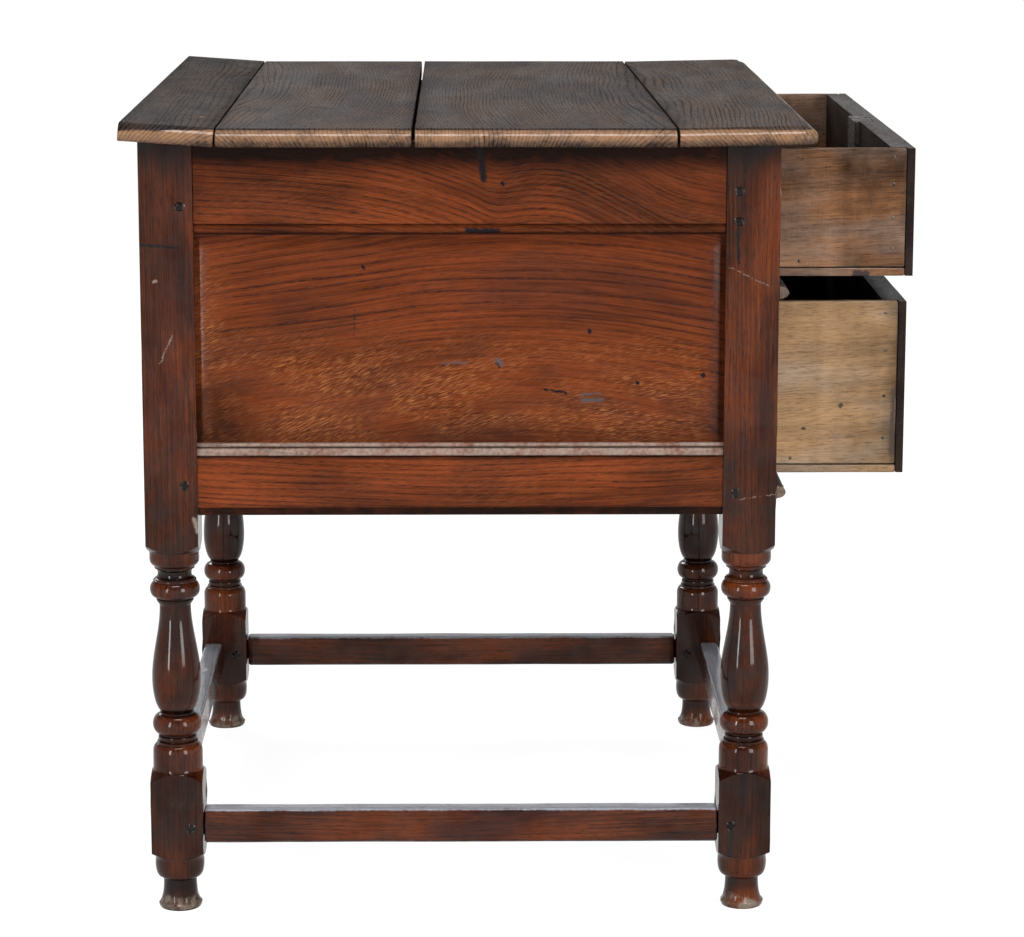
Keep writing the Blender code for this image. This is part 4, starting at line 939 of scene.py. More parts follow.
@dataclass(frozen=True)
class TableTop:
    """Four boards laid side by side, with a thumb moulding round the ends and the front.

    Attributes:
        end_overhang: how far the boards pass the legs at each end.
        front_overhang: how far they pass the front legs.
        back_overhang: how far they pass the back legs.
        thickness: the boards' thickness.
        thumb: the width of the moulding.
        fillet: the step from the moulding up to the flat.
        nose: how high the moulding's nose is above the underside.
        undercut: how far the underside is set back.
        corners: the radii of the front corners, left and right.
        lifts: how far each board has warped up, in degrees, about its inner edge.
        taper: how much nearer the back the foremost joint runs at the right end.
        spare: how much longer the plan is than the board before it is sawn.
        upright: how high the flat of the moulding's nose is.
        worn_fillet: the step that is left on the back board.
        piths: where each board's log had its heart, across and through the board.
        bows: how far each board's rings swing across.
        rubs: how far each board's moulding is rubbed.
    """

    end_overhang: float = 0.056
    front_overhang: float = 0.029
    back_overhang: float = 0.012
    thickness: float = 0.017
    thumb: float = 0.011
    fillet: float = 0.0016
    nose: float = 0.0060
    undercut: float = 0.003
    corners: Flat = (0.012, 0.022)
    lifts: tuple[float, ...] = (4.0, 0.0, 0.0, -1.1)
    taper: float = 0.013
    spare: float = 0.040
    upright: float = 0.0004
    worn_fillet: float = 0.0003
    piths: tuple[Flat, ...] = ((0.060, 0.080), (-0.125, 0.055), (0.150, 0.060), (-0.090, 0.075))
    bows: tuple[float, ...] = (0.008, 0.022, -0.020, 0.010)
    rubs: tuple[float, ...] = (0.90, 0.72, 0.76, 0.76)

    def build(self) -> None:
        """Make the four boards, from the back one to the front one."""
        for index, lift in enumerate(self.lifts):
            self.board(index, lift)

    def half(self) -> float:
        """Half the boards' length."""
        return node_box("leg_front_right")[1].x + self.end_overhang

    def spread(self, index: int) -> Flat:
        """A board's front and back edges at the left end, while it lies flat."""
        low, high = node_box(f"top_board_{index + 1}")
        if index == FRONT_BOARD:
            return (node_box("leg_front_left")[0].y - self.front_overhang, high.y - self.taper)
        back = node_box("leg_back_left")[1].y + self.back_overhang
        return (low.y, back if index == BACK_BOARD else high.y)

    def lean(self, x: float) -> float:
        """How much nearer the back the foremost joint lies at a place than at the left end."""
        return self.taper * (x / self.half() + 1.0) / 2.0

    def plan(self, front: float, back: float, rounded: bool) -> list[Flat]:
        """The outline that the moulding follows, before the joints are sawn."""
        half = self.half()
        back += self.spare
        if not rounded:
            front -= self.spare
            return [(-half, front), (half, front), (half, back), (-half, back)]
        left, right = self.corners
        outline = arc((-half + left, front + left), (left, left), 180.0, 270.0, 6)
        outline += arc((half - right, front + right), (right, right), 270.0, 360.0, 8)
        return outline + [(half, back), (-half, back)]

    def moulded(self, outline: Sequence[Flat], fillet: float) -> MeshBench:
        """A slab of an outline with the thumb moulding worked all round it."""
        bm = bmesh.new()
        foot = bm.faces.new([bm.verts.new((x, y, self.nose)) for x, y in outline])
        made = bmesh.ops.extrude_face_region(bm, geom=[foot])["geom"]
        crown = next(item for item in made if isinstance(item, bmesh.types.BMFace))
        bmesh.ops.translate(bm, verts=crown.verts, vec=(0.0, 0.0, self.upright))
        bmesh.ops.recalc_face_normals(bm, faces=bm.faces)
        rise = self.thickness - fillet - self.nose - self.upright
        curve = arc((self.thumb, 0.0), (self.thumb, rise), 180.0, 90.0, 7)
        steps = [(b[0] - a[0], b[1] - a[1]) for a, b in zip(curve, curve[1:])] + [(0.0003, fillet)]
        drop = arc((self.undercut, 0.0), (self.undercut, self.nose), 180.0, 270.0, 3)
        steps_down = [(b[0] - a[0], a[1] - b[1]) for a, b in zip(drop, drop[1:])]
        for face, moves in ((crown, steps), (foot, steps_down)):
            for inward, outward in moves:
                bmesh.ops.inset_region(bm, faces=[face], thickness=inward, depth=outward,
                                       use_even_offset=True, use_boundary=True)
        return MeshBench(bm)

    def board(self, index: int, lift: float) -> None:
        """Make one board.

        Args:
            index: its place, from the back.
            lift: how far it has warped up, in degrees.
        """
        front, back = self.spread(index)
        fillet = self.worn_fillet if index == BACK_BOARD else self.fillet
        bench = self.moulded(self.plan(front, back, index == FRONT_BOARD), fillet)
        skewed = Vector((-self.taper / (2.0 * self.half()), 1.0, 0.0)).normalized()
        bench.trim(Vector((-self.half(), back, 0.0)), skewed if index == FRONT_BOARD else Axis.Y.vector)
        if index < FRONT_BOARD:
            bench.trim(Vector((-self.half(), front, 0.0)), -skewed if index == 2 else -Axis.Y.vector)
        bench.cut(Axis.X, 0.018).cut(Axis.Y, 0.013)
        bench.soften(0.0009, 60.0)
        bench.wander(0.0004, 0.060, 3.0 + index, 2.0)
        level = node_box("top_board_2")[1].z - self.thickness
        bench.move(Matrix.Translation((0.0, 0.0, level)))
        pivot = Vector((0.0, front if index == BACK_BOARD else back, level + self.thickness))
        turn = Matrix.Rotation(math.radians(lift), 4, "X")
        bench.move(Matrix.Translation(pivot) @ turn @ Matrix.Translation(-pivot))
        bench.tone(lambda place, worn: self.tone(place, worn, index, front, back))
        bench.lay(Grain(Axis.X, Axis.Z, self.piths[index], self.bows[index], 1.0 + index))
        bench.piece(f"oak_top_board_{index + 1}", "carcase", TOP, f"top_board_{index + 1}")

    def tone(self, place: Vector, worn: float, index: int, front: float, back: float) -> Tone:
        """The wear, dirt and painted shade at a place on a board.

        Args:
            place: the place on the table.
            worn: the wear noted so far.
            index: which board it is.
            front: the board's front edge.
            back: the board's back edge.

        Returns:
            Wear, dirt with painted shade, and rays.
        """
        inset = self.half() - abs(place.x)
        if index == FRONT_BOARD:
            inset = min(inset, place.y - front)
            back += self.lean(place.x)
        elif index == 2:
            front += self.lean(place.x)
        top = node_box("top_board_2")[1].z
        edge = fade(inset, self.thumb - 0.002, self.thumb + 0.0005) * fade(top - place.z, 0.0015, 0.0005)
        # The moulded edge is darker towards its underside, as painted shade, and worn less there.
        under = fade(top - place.z, self.thickness - 0.002, self.thickness - 0.009)
        ahead = abs(place.y - front) if index < FRONT_BOARD else 1.0
        joint = fade(min(ahead, abs(back - place.y)), 0.0, 0.012)
        wear = max(self.rubs[index] * edge * (1.0 - 0.4 * under), 0.2 * worn)
        grime = max(0.05, 0.35 * joint * (1.0 - edge), 0.25 * under)
        # The back board's flat is darkened as painted shade, against the light that its tilt catches.
        return (wear, grime + (0.40 * (1.0 - edge) if index == BACK_BOARD else 0.0), 0.0)


SIDE_PEGS = {"front": (0.697, 0.669, 0.412, 0.0855), "back": (0.683, 0.420, 0.0845)}
FACE_PEGS = {"front": (0.5990, 0.4040, 0.0862), "back": (0.7000, 0.4040, 0.0862)}
INNER_PEG = 0.0890


@dataclass(frozen=True)
class TurnedLeg:
    """A square leg with turned stretches between its blocks and a turned foot.

    Attributes:
        row: whether it is a front or a back leg.
        end: the end of the table that it stands at.
        side: the width of its square blocks.
        blank: the radius it is turned from, past the blocks' corners.
        shoulder: how high the arch at the end of a block is.
        upper_block: the height of the upper block's lower end.
        lower_block: the heights of the lower block's ends.
        vase: the heights between which it swells.
        peg_inset: how far the pegs are from the leg's inner corner.
        knocks: how many dents its corners have.
        steps: how many sides a turned part has.
    """

    row: str
    end: End
    side: float = 0.050
    blank: float = 0.0385
    shoulder: float = 0.0105
    upper_block: float = 0.3537
    lower_block: Flat = (0.0535, 0.138)
    vase: Flat = (0.205, 0.303)
    peg_inset: float = 0.012
    knocks: int = 16
    steps: int = 64

    @property
    def node(self) -> str:
        """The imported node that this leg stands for."""
        return f"leg_{self.row}_{self.end.label}"

    @staticmethod
    def bead(low: float, high: float, lip: float, belly: float) -> list[Flat]:
        """A rounded ring of a turning, from its upper edge down."""
        middle, half = (low + high) / 2.0, (high - low) / 2.0
        start = 72.0
        scale = half / math.sin(math.radians(start))
        reach = (belly - lip) / (1.0 - math.cos(math.radians(start)))
        return arc((belly - reach, middle), (reach, scale), start, -start, 12)

    @staticmethod
    def swell(first: Flat, last: Flat, count: int) -> list[Flat]:
        """A slow curve between two radii, level at both ends."""
        made = []
        for step in range(count + 1):
            share = step / count
            eased = (1.0 - math.cos(math.pi * share)) / 2.0
            made.append((first[0] + (last[0] - first[0]) * eased, first[1] + (last[1] - first[1]) * share))
        return made

    def profile(self, top: float) -> list[Flat]:
        """The turned outline, as radii and heights from the top to the floor."""
        half = self.side / 2.0
        low, high = self.lower_block
        upper = self.upper_block
        line = [(0.0, top), (self.blank, top), (self.blank, upper + self.shoulder), (half, upper)]
        line += [(0.0238, upper - 0.0016), (0.0239, upper - 0.0085)]
        line += arc((0.0187, upper - 0.0085), (0.0052, 0.0066), 0.0, -75.0, 5)
        line += [(0.0192, 0.3378), (0.0194, 0.3362)]
        line += arc((0.0190, 0.3312), (0.0028, 0.0046), 90.0, 270.0, 8)[1:-1]
        line += [(0.0194, 0.3264), (0.0194, 0.3252), (0.0206, 0.3250), (0.0208, 0.3240), (0.0204, 0.3234)]
        line += self.bead(0.3082, 0.3232, 0.0200, 0.0239)
        line += [(0.0164, 0.3076), (0.0164, 0.3066), (0.0178, 0.3062), (0.0178, 0.3046)]
        line += self.swell((0.0150, 0.3005), (0.0234, 0.2280), 16)
        line += arc((0.0140, 0.2280), (0.0094, 0.0325), -6.0, -82.0, 11)
        line += [(0.0164, 0.1950), (0.0164, 0.1938)]
        line += self.bead(0.1740, 0.1928, 0.0188, 0.0237)
        line += [(0.0163, 0.1732), (0.0163, 0.1722), (0.0183, 0.1716), (0.0187, 0.1700), (0.0183, 0.1684)]
        line += [(0.0163, 0.1678), (0.0163, 0.1668), (0.0196, 0.1664), (0.0198, 0.1652), (0.0194, 0.1646)]
        line += arc((0.0190, 0.1560), (0.0049, 0.0082), 84.0, 0.0, 7)
        line += [(0.0239, high + 0.0016), (half, high), (self.blank, high - self.shoulder)]
        line += [(self.blank, low + self.shoulder * 0.7), (half, low), (0.0236, low - 0.0022)]
        line += arc((0.0196, 0.0440), (0.0042, 0.0125), 20.0, -70.0, 6)
        line += [(0.0186, 0.0305), (0.0170, 0.0296)]
        line += arc((0.0211, 0.0262), (0.0050, 0.0206), 168.0, 262.0, 10)
        line += [(0.0212, 0.0048), (0.0206, 0.0018), (0.0193, 0.0), (0.0, 0.0)]
        return line

    def build(self) -> None:
        """Turn, square, wear and colour the leg, and drive its pegs."""
        low, high = node_box(self.node)
        centre = (low + high) / 2.0
        bench = MeshBench.turned(self.profile(high.z), self.steps)
        half = self.side / 2.0
        for outward in (Axis.X.vector, -Axis.X.vector, Axis.Y.vector, -Axis.Y.vector):
            bench.trim(outward * half, outward)
        bench.cut(Axis.Z, 0.012)
        bench.soften(0.0016, 30.0, 2, self.squared)
        bench.move(Matrix.Translation((centre.x, centre.y, 0.0)))
        seed = 7.0 + 3.0 * (self.row == "back") + self.end.value
        bench.wander(0.0003, 0.030, seed, 3.0)
        self.knock(bench, low, high, seed)
        bench.tone(lambda place, worn: self.tone(place, worn, centre))
        bench.lay(Grain(Axis.Z, Axis.X, (0.050 * self.end.value, 0.042), 0.004, seed))
        bench.piece("turned_" + self.node, "carcase", LEG, self.node)
        self.pegs(low, high)

    @staticmethod
    def squared(edge: bmesh.types.BMEdge) -> bool:
        """Whether an edge bounds one of a block's flat faces."""
        return any(max(abs(face.normal.x), abs(face.normal.y)) > 0.999 for face in edge.link_faces)

    def knock(self, bench: MeshBench, low: Vector, high: Vector, seed: float) -> None:
        """Knock the corners of the blocks, and wear the foot's rim unevenly.

        Args:
            bench: the leg's mesh.
            low: the leg's lowest corner.
            high: the leg's highest corner.
            seed: which pattern of knocks.
        """
        chance = random.Random(seed)
        lower, upper = (0.06, 0.13), (0.37, 0.72)
        for _ in range(self.knocks):
            height = chance.uniform(*chance.choice((lower, upper, upper)))
            corner = (chance.choice((low.x, high.x)), chance.choice((low.y, high.y)), height)
            bench.dent(corner, chance.uniform(0.004, 0.010), chance.uniform(0.0006, 0.0018))
        wear = bench.bm.verts.layers.float["wear"]
        centre = (low + high) / 2.0
        for vert in bench.bm.verts:
            if not 0.0005 < vert.co.z < 0.022:
                continue
            gnaw = fade(vert.co.z, 0.004, 0.020)
            bite = max(0.0, noise.noise(vert.co / 0.009 + Vector((seed, 0.0, 0.0))))
            inward = Vector((centre.x - vert.co.x, centre.y - vert.co.y, 0.0)).normalized()
            vert.co += inward * 0.0028 * bite * gnaw
            vert[wear] = max(vert[wear], gnaw * (0.60 + 1.8 * bite))

    def tone(self, place: Vector, worn: float, centre: Vector) -> Tone:
        """The wear, dirt and painted shade at a place on the leg."""
        radius = math.hypot(place.x - centre.x, place.y - centre.y)
        turned = place.z < self.lower_block[0] or self.lower_block[1] < place.z < self.upper_block
        vase = self.vase[0] < place.z < self.vase[1]
        grime = 0.14 if self.row == "front" else 0.0
        # Painted shade under the top on the leg's upper end; lower down, darker towards the foot of the upper
        # block.
        grime += 0.80 * fade(place.z, 0.742, 0.708) + 0.55 * fade(place.z, 0.39, 0.52)
        # The turnings outside the vase are darker towards their hollows.
        if turned and not vase:
            grime = 0.10 + 0.75 * fade(radius, 0.0172, 0.0216)
        foot = fade(place.z, 0.046, 0.060)
        rim = fade(place.z, 0.010, 0.024)
        grime = max(grime, 0.45 * foot) * (1.0 - 0.8 * rim)
        return (worn * (1.0 if place.z < 0.022 else 0.7), grime, 0.0)

    def pegs(self, low: Vector, high: Vector) -> None:
        """Drive the pegs that hold the rails' tenons, in the leg's outer and inner faces."""
        front = -1 if self.row == "front" else 1
        outer_x, inner_x = (low.x, high.x) if self.end is End.LEFT else (high.x, low.x)
        outer_y, inner_y = (low.y, high.y) if front < 0 else (high.y, low.y)
        peg_x = inner_x + self.peg_inset * self.end.value
        peg_y = inner_y + self.peg_inset * front
        pegs = []
        for height in SIDE_PEGS[self.row]:
            spot = Vector((outer_x, peg_y, height))
            pegs.append(self.peg(spot, Vector((self.end.value, 0.0, 0.0)), 30.0 * height))
        for height in FACE_PEGS[self.row]:
            spot = Vector((peg_x, outer_y, height))
            pegs.append(self.peg(spot, Vector((0.0, front, 0.0)), 70.0 * height))
        spot = Vector((inner_x, peg_y, INNER_PEG))
        pegs.append(self.peg(spot, Vector((-self.end.value, 0.0, 0.0)), 5.0))
        bench = MeshBench.joined(pegs)
        bench.lay(Grain(Axis.X, Axis.Z, (0.02, 0.02), 0.0, 2.0))
        bench.piece(f"pegs_{self.node}", "carcase", LEG)

    @staticmethod
    def peg(spot: Vector, outward: Vector, turn: float) -> MeshBench:
        """The end of a riven peg in a slightly crushed hole.

        Args:
            spot: where it is driven.
            outward: the way that the leg's face looks.
            turn: how far the peg is turned about its length, in radians.

        Returns:
            The peg's mesh.
        """
        def tone(place: Vector, worn: float) -> Tone:
            """The pale rim round the peg, crushed wood and a painted glint, and the dark in and round its
            hole, dirt and painted shade of a recess.
            """
            radius = math.hypot(place.x, place.y)
            return (0.55 * fade(radius, 0.0046, 0.0042), 1.4 - 0.9 * fade(radius, 0.0052, 0.0042), 0.0)

        profile = [(0.0, 0.00055), (0.0030, 0.00050), (0.0036, 0.00030), (0.0038, 0.00005),
                   (0.0042, 0.00010), (0.0046, 0.00035), (0.0052, 0.00005), (0.0050, -0.0020), (0.0, -0.0020)]
        bench = MeshBench.turned(profile, 9)
        bench.move(Matrix.Diagonal((1.0, 0.88, 1.0, 1.0))).tone(tone)
        return bench.move(aimed(spot, outward) @ Matrix.Rotation(turn, 4, "Z"))


TOP_RAIL_FLOW = ((-1.0, 0.107), (-0.81, 0.097), (-0.61, 0.071), (-0.42, 0.049), (-0.28, 0.045),
                 (-0.13, 0.048), (-0.02, 0.036), (0.24, 0.016), (0.64, 0.004), (1.0, 0.0))
PANEL_FLOW = ((-1.0, 0.024), (-0.6, 0.007), (-0.27, 0.0), (0.1, 0.004), (0.4, 0.015), (1.0, 0.036))


@dataclass(frozen=True)
class EndFrame:
    """The two moulded rails and the fielded panel at one end of the case.

    Attributes:
        end: which end it is.
        inset: how far the rails' faces lie behind the legs' faces.
        thickness: the rails' thickness.
        groove: how far in the panel lies.
        top_height: the upper rail's height.
        bottom_height: the lower rail's height.
        ovolo: the height of the moulding over the panel.
        sill: the height of the moulding under the panel.
        drip: the height and depth of the step along the lower rail's foot.
        quirk: how far in the groove over the upper rail's moulding goes.
        steps: how many lengths a rail is divided into.
    """

    end: End
    inset: float = 0.0015
    thickness: float = 0.022
    groove: float = 0.008
    top_height: float = 0.087
    bottom_height: float = 0.0687
    ovolo: float = 0.0105
    sill: float = 0.0125
    drip: Flat = (0.0080, 0.0025)
    quirk: float = 0.0032
    steps: int = 56

    def node(self, part: str) -> str:
        """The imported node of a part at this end."""
        return f"side_{part}_{self.end.label}"

    def span(self) -> Flat:
        """Where the rails run between the front and the back leg."""
        return node_box(f"leg_front_{self.end.label}")[1].y, node_box(f"leg_back_{self.end.label}")[0].y

    def build(self) -> None:
        """Make the rails and the panel."""
        top_grain = Grain(Axis.Y, Axis.X, (0.20, 0.12), 0.0, 2.0, TOP_RAIL_FLOW)
        bottom_grain = Grain(Axis.Y, Axis.X, (-0.14, 0.10), 0.010, 5.0)
        ceiling = node_box(self.node("top_rail"))[1].z
        foot = node_box(self.node("bottom_rail"))[0].z
        self.rail("top_rail", self.top_section(), ceiling - self.top_height, top_grain)
        self.rail("bottom_rail", self.bottom_section(), foot, bottom_grain)
        self.panel()

    def top_section(self) -> list[Flat]:
        """The upper rail's outline, in from its face and up from its lower edge."""
        line = [(0.0, self.top_height), (0.0, self.ovolo + 0.0006), (self.quirk, self.ovolo + 0.0002)]
        line += arc((0.0052, 0.0060), (0.0042, 0.0040), 112.0, 262.0, 10)
        line += [(0.0072, 0.0018), (self.groove, 0.0014), (self.groove, 0.0)]
        return line + [(self.thickness, 0.0), (self.thickness, self.top_height)]

    def bottom_section(self) -> list[Flat]:
        """The lower rail's outline, in from its face and up from its lower edge."""
        height = self.bottom_height
        foot = height - self.sill
        line = [(self.thickness, 0.0), (self.thickness, height), (self.groove, height)]
        line += arc((0.0058, height - 0.0019), (0.0024, 0.0019), 90.0, 240.0, 8)
        line += [(0.0060, height - 0.0042)]
        line += arc((0.0058, foot + 0.0022), (0.0046, 0.0056), 98.0, 190.0, 8)
        line += [(0.0024, foot + 0.0004), (0.0, foot - 0.0004), (0.0, self.drip[0])]
        line += [(self.drip[1], self.drip[0] - 0.0008), (self.drip[1], 0.0010), (self.drip[1] + 0.001, 0.0)]
        return line

    def rail(self, part: str, section: Sequence[Flat], height: float, grain: Grain) -> None:
        """Make one rail.

        Args:
            part: the rail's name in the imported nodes.
            section: its outline.
            height: its lower edge.
            grain: how it lay in its log.
        """
        front, back = self.span()
        leg = node_box(f"leg_front_{self.end.label}")
        face = leg[0].x + self.inset if self.end is End.LEFT else leg[1].x - self.inset
        start = back if self.end is End.LEFT else front
        inward = (-float(self.end.value), 0.0, 0.0)
        place = axes(inward, (0.0, 0.0, 1.0), Vector((face, start, height)))
        bench = MeshBench.run(section, place, back - front, self.steps).cut(Axis.Z, 0.004)
        bench.soften(0.0005, 40.0).wander(0.00006, 0.08, grain.seed, 2.0)
        bench.tone(lambda spot, worn: self.rail_tone(part, spot, worn, height)).lay(grain)
        bench.piece(f"moulded_{self.node(part)}", "carcase", RAIL, self.node(part))

    def rail_tone(self, part: str, place: Vector, worn: float, height: float) -> Tone:
        """The wear, dirt and painted shade at a place on a rail, with a painted sheen on the sill."""
        front, back = self.span()
        joint = fade(min(place.y - front, back - place.y), 0.0, 0.018)
        up = place.z - height
        if part == "top_rail":
            # Painted shade over the ovolo, darkest in its quirk and along its foot, and a painted shadow of
            # the top's overhang down from the rail's upper edge.
            painted_groove_shade = max(0.9 * fade(abs(up - self.ovolo), 0.0004, 0.0012), 0.35 * fade(up, 0.0100, 0.0108))
            painted_groove_shade = max(painted_groove_shade, 0.9 * fade(up, 0.0020, 0.0028))
            return (0.2 * worn, max(0.0, 0.3 * joint, painted_groove_shade, 1.2 * fade(up, 0.082, 0.050)), 0.1)
        down = self.bottom_height - up
        # The sill's crests are worn, and are also painted pale as the sheen of their upturned rounds.
        sill = fade(down, 0.0112, 0.0122)
        # Painted shade in the creases of the sill's mouldings, and under the step along the rail's foot.
        painted_crease_shade = max(fade(abs(down - 0.0042), 0.0002, 0.0010), fade(abs(down - 0.0122), 0.0004, 0.0014))
        drip = fade(up, self.drip[0] - 0.001, self.drip[0] + 0.001)
        return (max(0.2 * worn, 0.7 * sill), max(0.0, 0.2 * joint, 0.95 * drip, 0.9 * painted_crease_shade), 0.1)

    def panel(self) -> None:
        """Make the panel, with its bevelled margin."""
        bench = MeshBench.from_node(self.node("panel"))
        bench.cut(Axis.Y, 0.012).cut(Axis.Z, 0.010)
        bench.wander(0.0005, 0.080, 4.0, 0.0)
        bench.tone(self.panel_tone)
        bench.lay(Grain(Axis.Y, Axis.X, (0.26, 0.16), 0.0, 3.0, PANEL_FLOW))
        bench.piece(f"fielded_{self.node('panel')}", "carcase", CASE, self.node("panel"))

    def panel_tone(self, place: Vector, worn: float) -> Tone:
        """The painted shade along the frame, a darker lower back corner, and the rays at a place on the
        panel, with ray flecks painted as a sheen along the back margin.
        """
        front, back = self.span()
        low, high = node_box(self.node("panel"))
        edge = min(place.y - front, back - place.y)
        # Painted shade: the front leg's shadow over the front margin, a little along the back one, and along
        # the panel's foot and head by the rails; the lower back corner is darker too.
        margin = 0.55 * fade(place.y - front, 0.004, 0.020) + 0.10 * fade(back - place.y, 0.0, 0.006)
        corner = 0.9 * fade(math.hypot(back - place.y, (place.z - low.z - 0.010) * 1.2), 0.010, 0.110)
        foot = 0.35 * fade(place.z, low.z + 0.008, low.z + 0.030)
        head = 0.30 * fade(place.z, high.z - 0.008, high.z - 0.020)
        rays = fade(place.z, 0.515, 0.585) * (0.65 + 0.35 * fade(place.y, back, front))
        # Ray flecks painted along the back margin as the sheen of its bevel.
        painted_sheen_flecks = 0.8 * fade(back - place.y, 0.020, 0.034) * fade(place.z, 0.59, 0.65)
        rays = max(rays * fade(edge, 0.020, 0.008), painted_sheen_flecks)
        return (0.0, max(0.0, margin, corner, foot, head), rays)


@dataclass(frozen=True)
class Carcase:
    """The plain rails, the back, the stretchers, the drawer runners and the front's mouldings.

    Attributes:
        moulding_step: how far the edges of a moulding stand up before it rounds over.
        moulding_steps: how many lengths a moulding is divided into.
        nail_shares: where a moulding's nails are, as shares of its length.
        nail_radius: the size of their heads.
    """

    moulding_step: float = 0.0010
    moulding_steps: int = 48
    nail_shares: tuple[float, ...] = (0.04, 0.35, 0.65, 0.96)
    nail_radius: float = 0.0014

    def build(self) -> None:
        """Make all the plain pieces."""
        for row in ("front", "back"):
            self.stretcher(f"stretcher_{row}", Grain(Axis.X, Axis.Y, (0.05, 0.06), 0.006, 11.0))
        for end in End:
            grain = Grain(Axis.Y, Axis.X, (0.06, 0.05), 0.006, 13.0 + end.value)
            self.stretcher(f"stretcher_{end.label}", grain)
        for name, seed in (("front_top_rail", 21.0), ("front_mid_rail", 22.0), ("front_bottom_rail", 23.0)):
            PlainBoard(name, "carcase", FRONT, Grain(Axis.X, Axis.Z, (0.08, 0.06), 0.004, seed)).build()
        for name, seed in (("back_top_rail", 24.0), ("back_bottom_rail", 25.0), ("back_panel", 26.0)):
            PlainBoard(name, "carcase", INNER, Grain(Axis.X, Axis.Y, (0.15, 0.09), 0.012, seed),
                       hollow=0.0006).build()
        for level in ("upper", "lower"):
            for end in End:
                PlainBoard(f"runner_{level}_{end.label}", "carcase", INNER,
                           Grain(Axis.Y, Axis.Z, (0.06, 0.05), 0.003, 27.0 + end.value)).build()
        for name in ("mid_moulding", "bottom_moulding"):
            self.moulding(name)

    def stretcher(self, node: str, grain: Grain) -> None:
        """Make a stretcher, rubbed grey on top by feet."""
        board = PlainBoard(node, "carcase", STRETCHER, grain, edge=0.0021, hollow=0.0007)
        top = node_box(node)[1].z
        bench = board.bench().cut(Axis.Z, 0.0035)
        bench.tone(lambda spot, worn: (max(0.6 * worn, fade(top - spot.z, 0.0010, 0.0030)),
                                       board.grime, 0.0))
        bench.lay(grain)
        bench.piece("worn_" + node, board.body, board.finish, node)

    def moulding(self, node: str) -> None:
        """Make a half-round moulding along the front, with its nails."""
        low, high = node_box(node)
        depth, height = high.y - low.y, high.z - low.z
        step = self.moulding_step
        section = [(0.0, 0.0), (step, 0.0)]
        section += arc((step, height / 2.0), (depth - step, height / 2.0 - 0.0004), -90.0, 90.0, 14)
        section += [(step, height), (0.0, height)]
        place = axes((0.0, -1.0, 0.0), (0.0, 0.0, 1.0), Vector((high.x, high.y, low.z)))
        bench = MeshBench.run(section, place, high.x - low.x, self.moulding_steps)
        bench.soften(0.0004, 60.0).wander(0.0004, 0.020, 9.0, 2.0)
        bench.tone(lambda spot, worn: (max(worn, 0.7 * fade(low.x - spot.x, 0.0, -0.004)), 0.25, 0.0))
        bench.lay(Grain(Axis.X, Axis.Y, (0.05, 0.05), 0.003, 31.0))
        bench.piece("rounded_" + node, "carcase", FRONT, node)
        nails = [Vector((low.x + (high.x - low.x) * share, low.y, (low.z + high.z) / 2.0))
                 for share in self.nail_shares]
        Nails("carcase", "nails_" + node, tuple(nails), Vector((0.0, -1.0, 0.0)), self.nail_radius).build()


@dataclass(frozen=True)
class Nails:
    """A row of hand-made nails, driven nearly flush.

    Attributes:
        body: the body that they move with.
        name: the piece's name.
        spots: where the nails are.
        outward: the way that the wood's face looks.
        radius: the size of a head.
    """

    body: str
    name: str
    spots: tuple[Vector, ...]
    outward: Vector
    radius: float = 0.0018

    def build(self) -> None:
        """Make the nails' heads as one piece."""
        chance = random.Random(self.name)
        MeshBench.joined([self.nail(spot, chance) for spot in self.spots]).piece(self.name, self.body, IRON)

    def nail(self, spot: Vector, chance: random.Random) -> MeshBench:
        """One head, a little out of round and turned at random."""
        profile = [(0.0, 0.0005), (0.55, 0.0004), (0.9, 0.0001), (1.0, -0.0006), (0.0, -0.0006)]
        nail = MeshBench.turned([(share * self.radius, height) for share, height in profile], 8)
        nail.move(Matrix.Diagonal((1.0, chance.uniform(0.75, 1.0), 1.0, 1.0)))
        return nail.move(aimed(spot, self.outward) @ Matrix.Rotation(chance.uniform(0.0, 3.0), 4, "Z"))


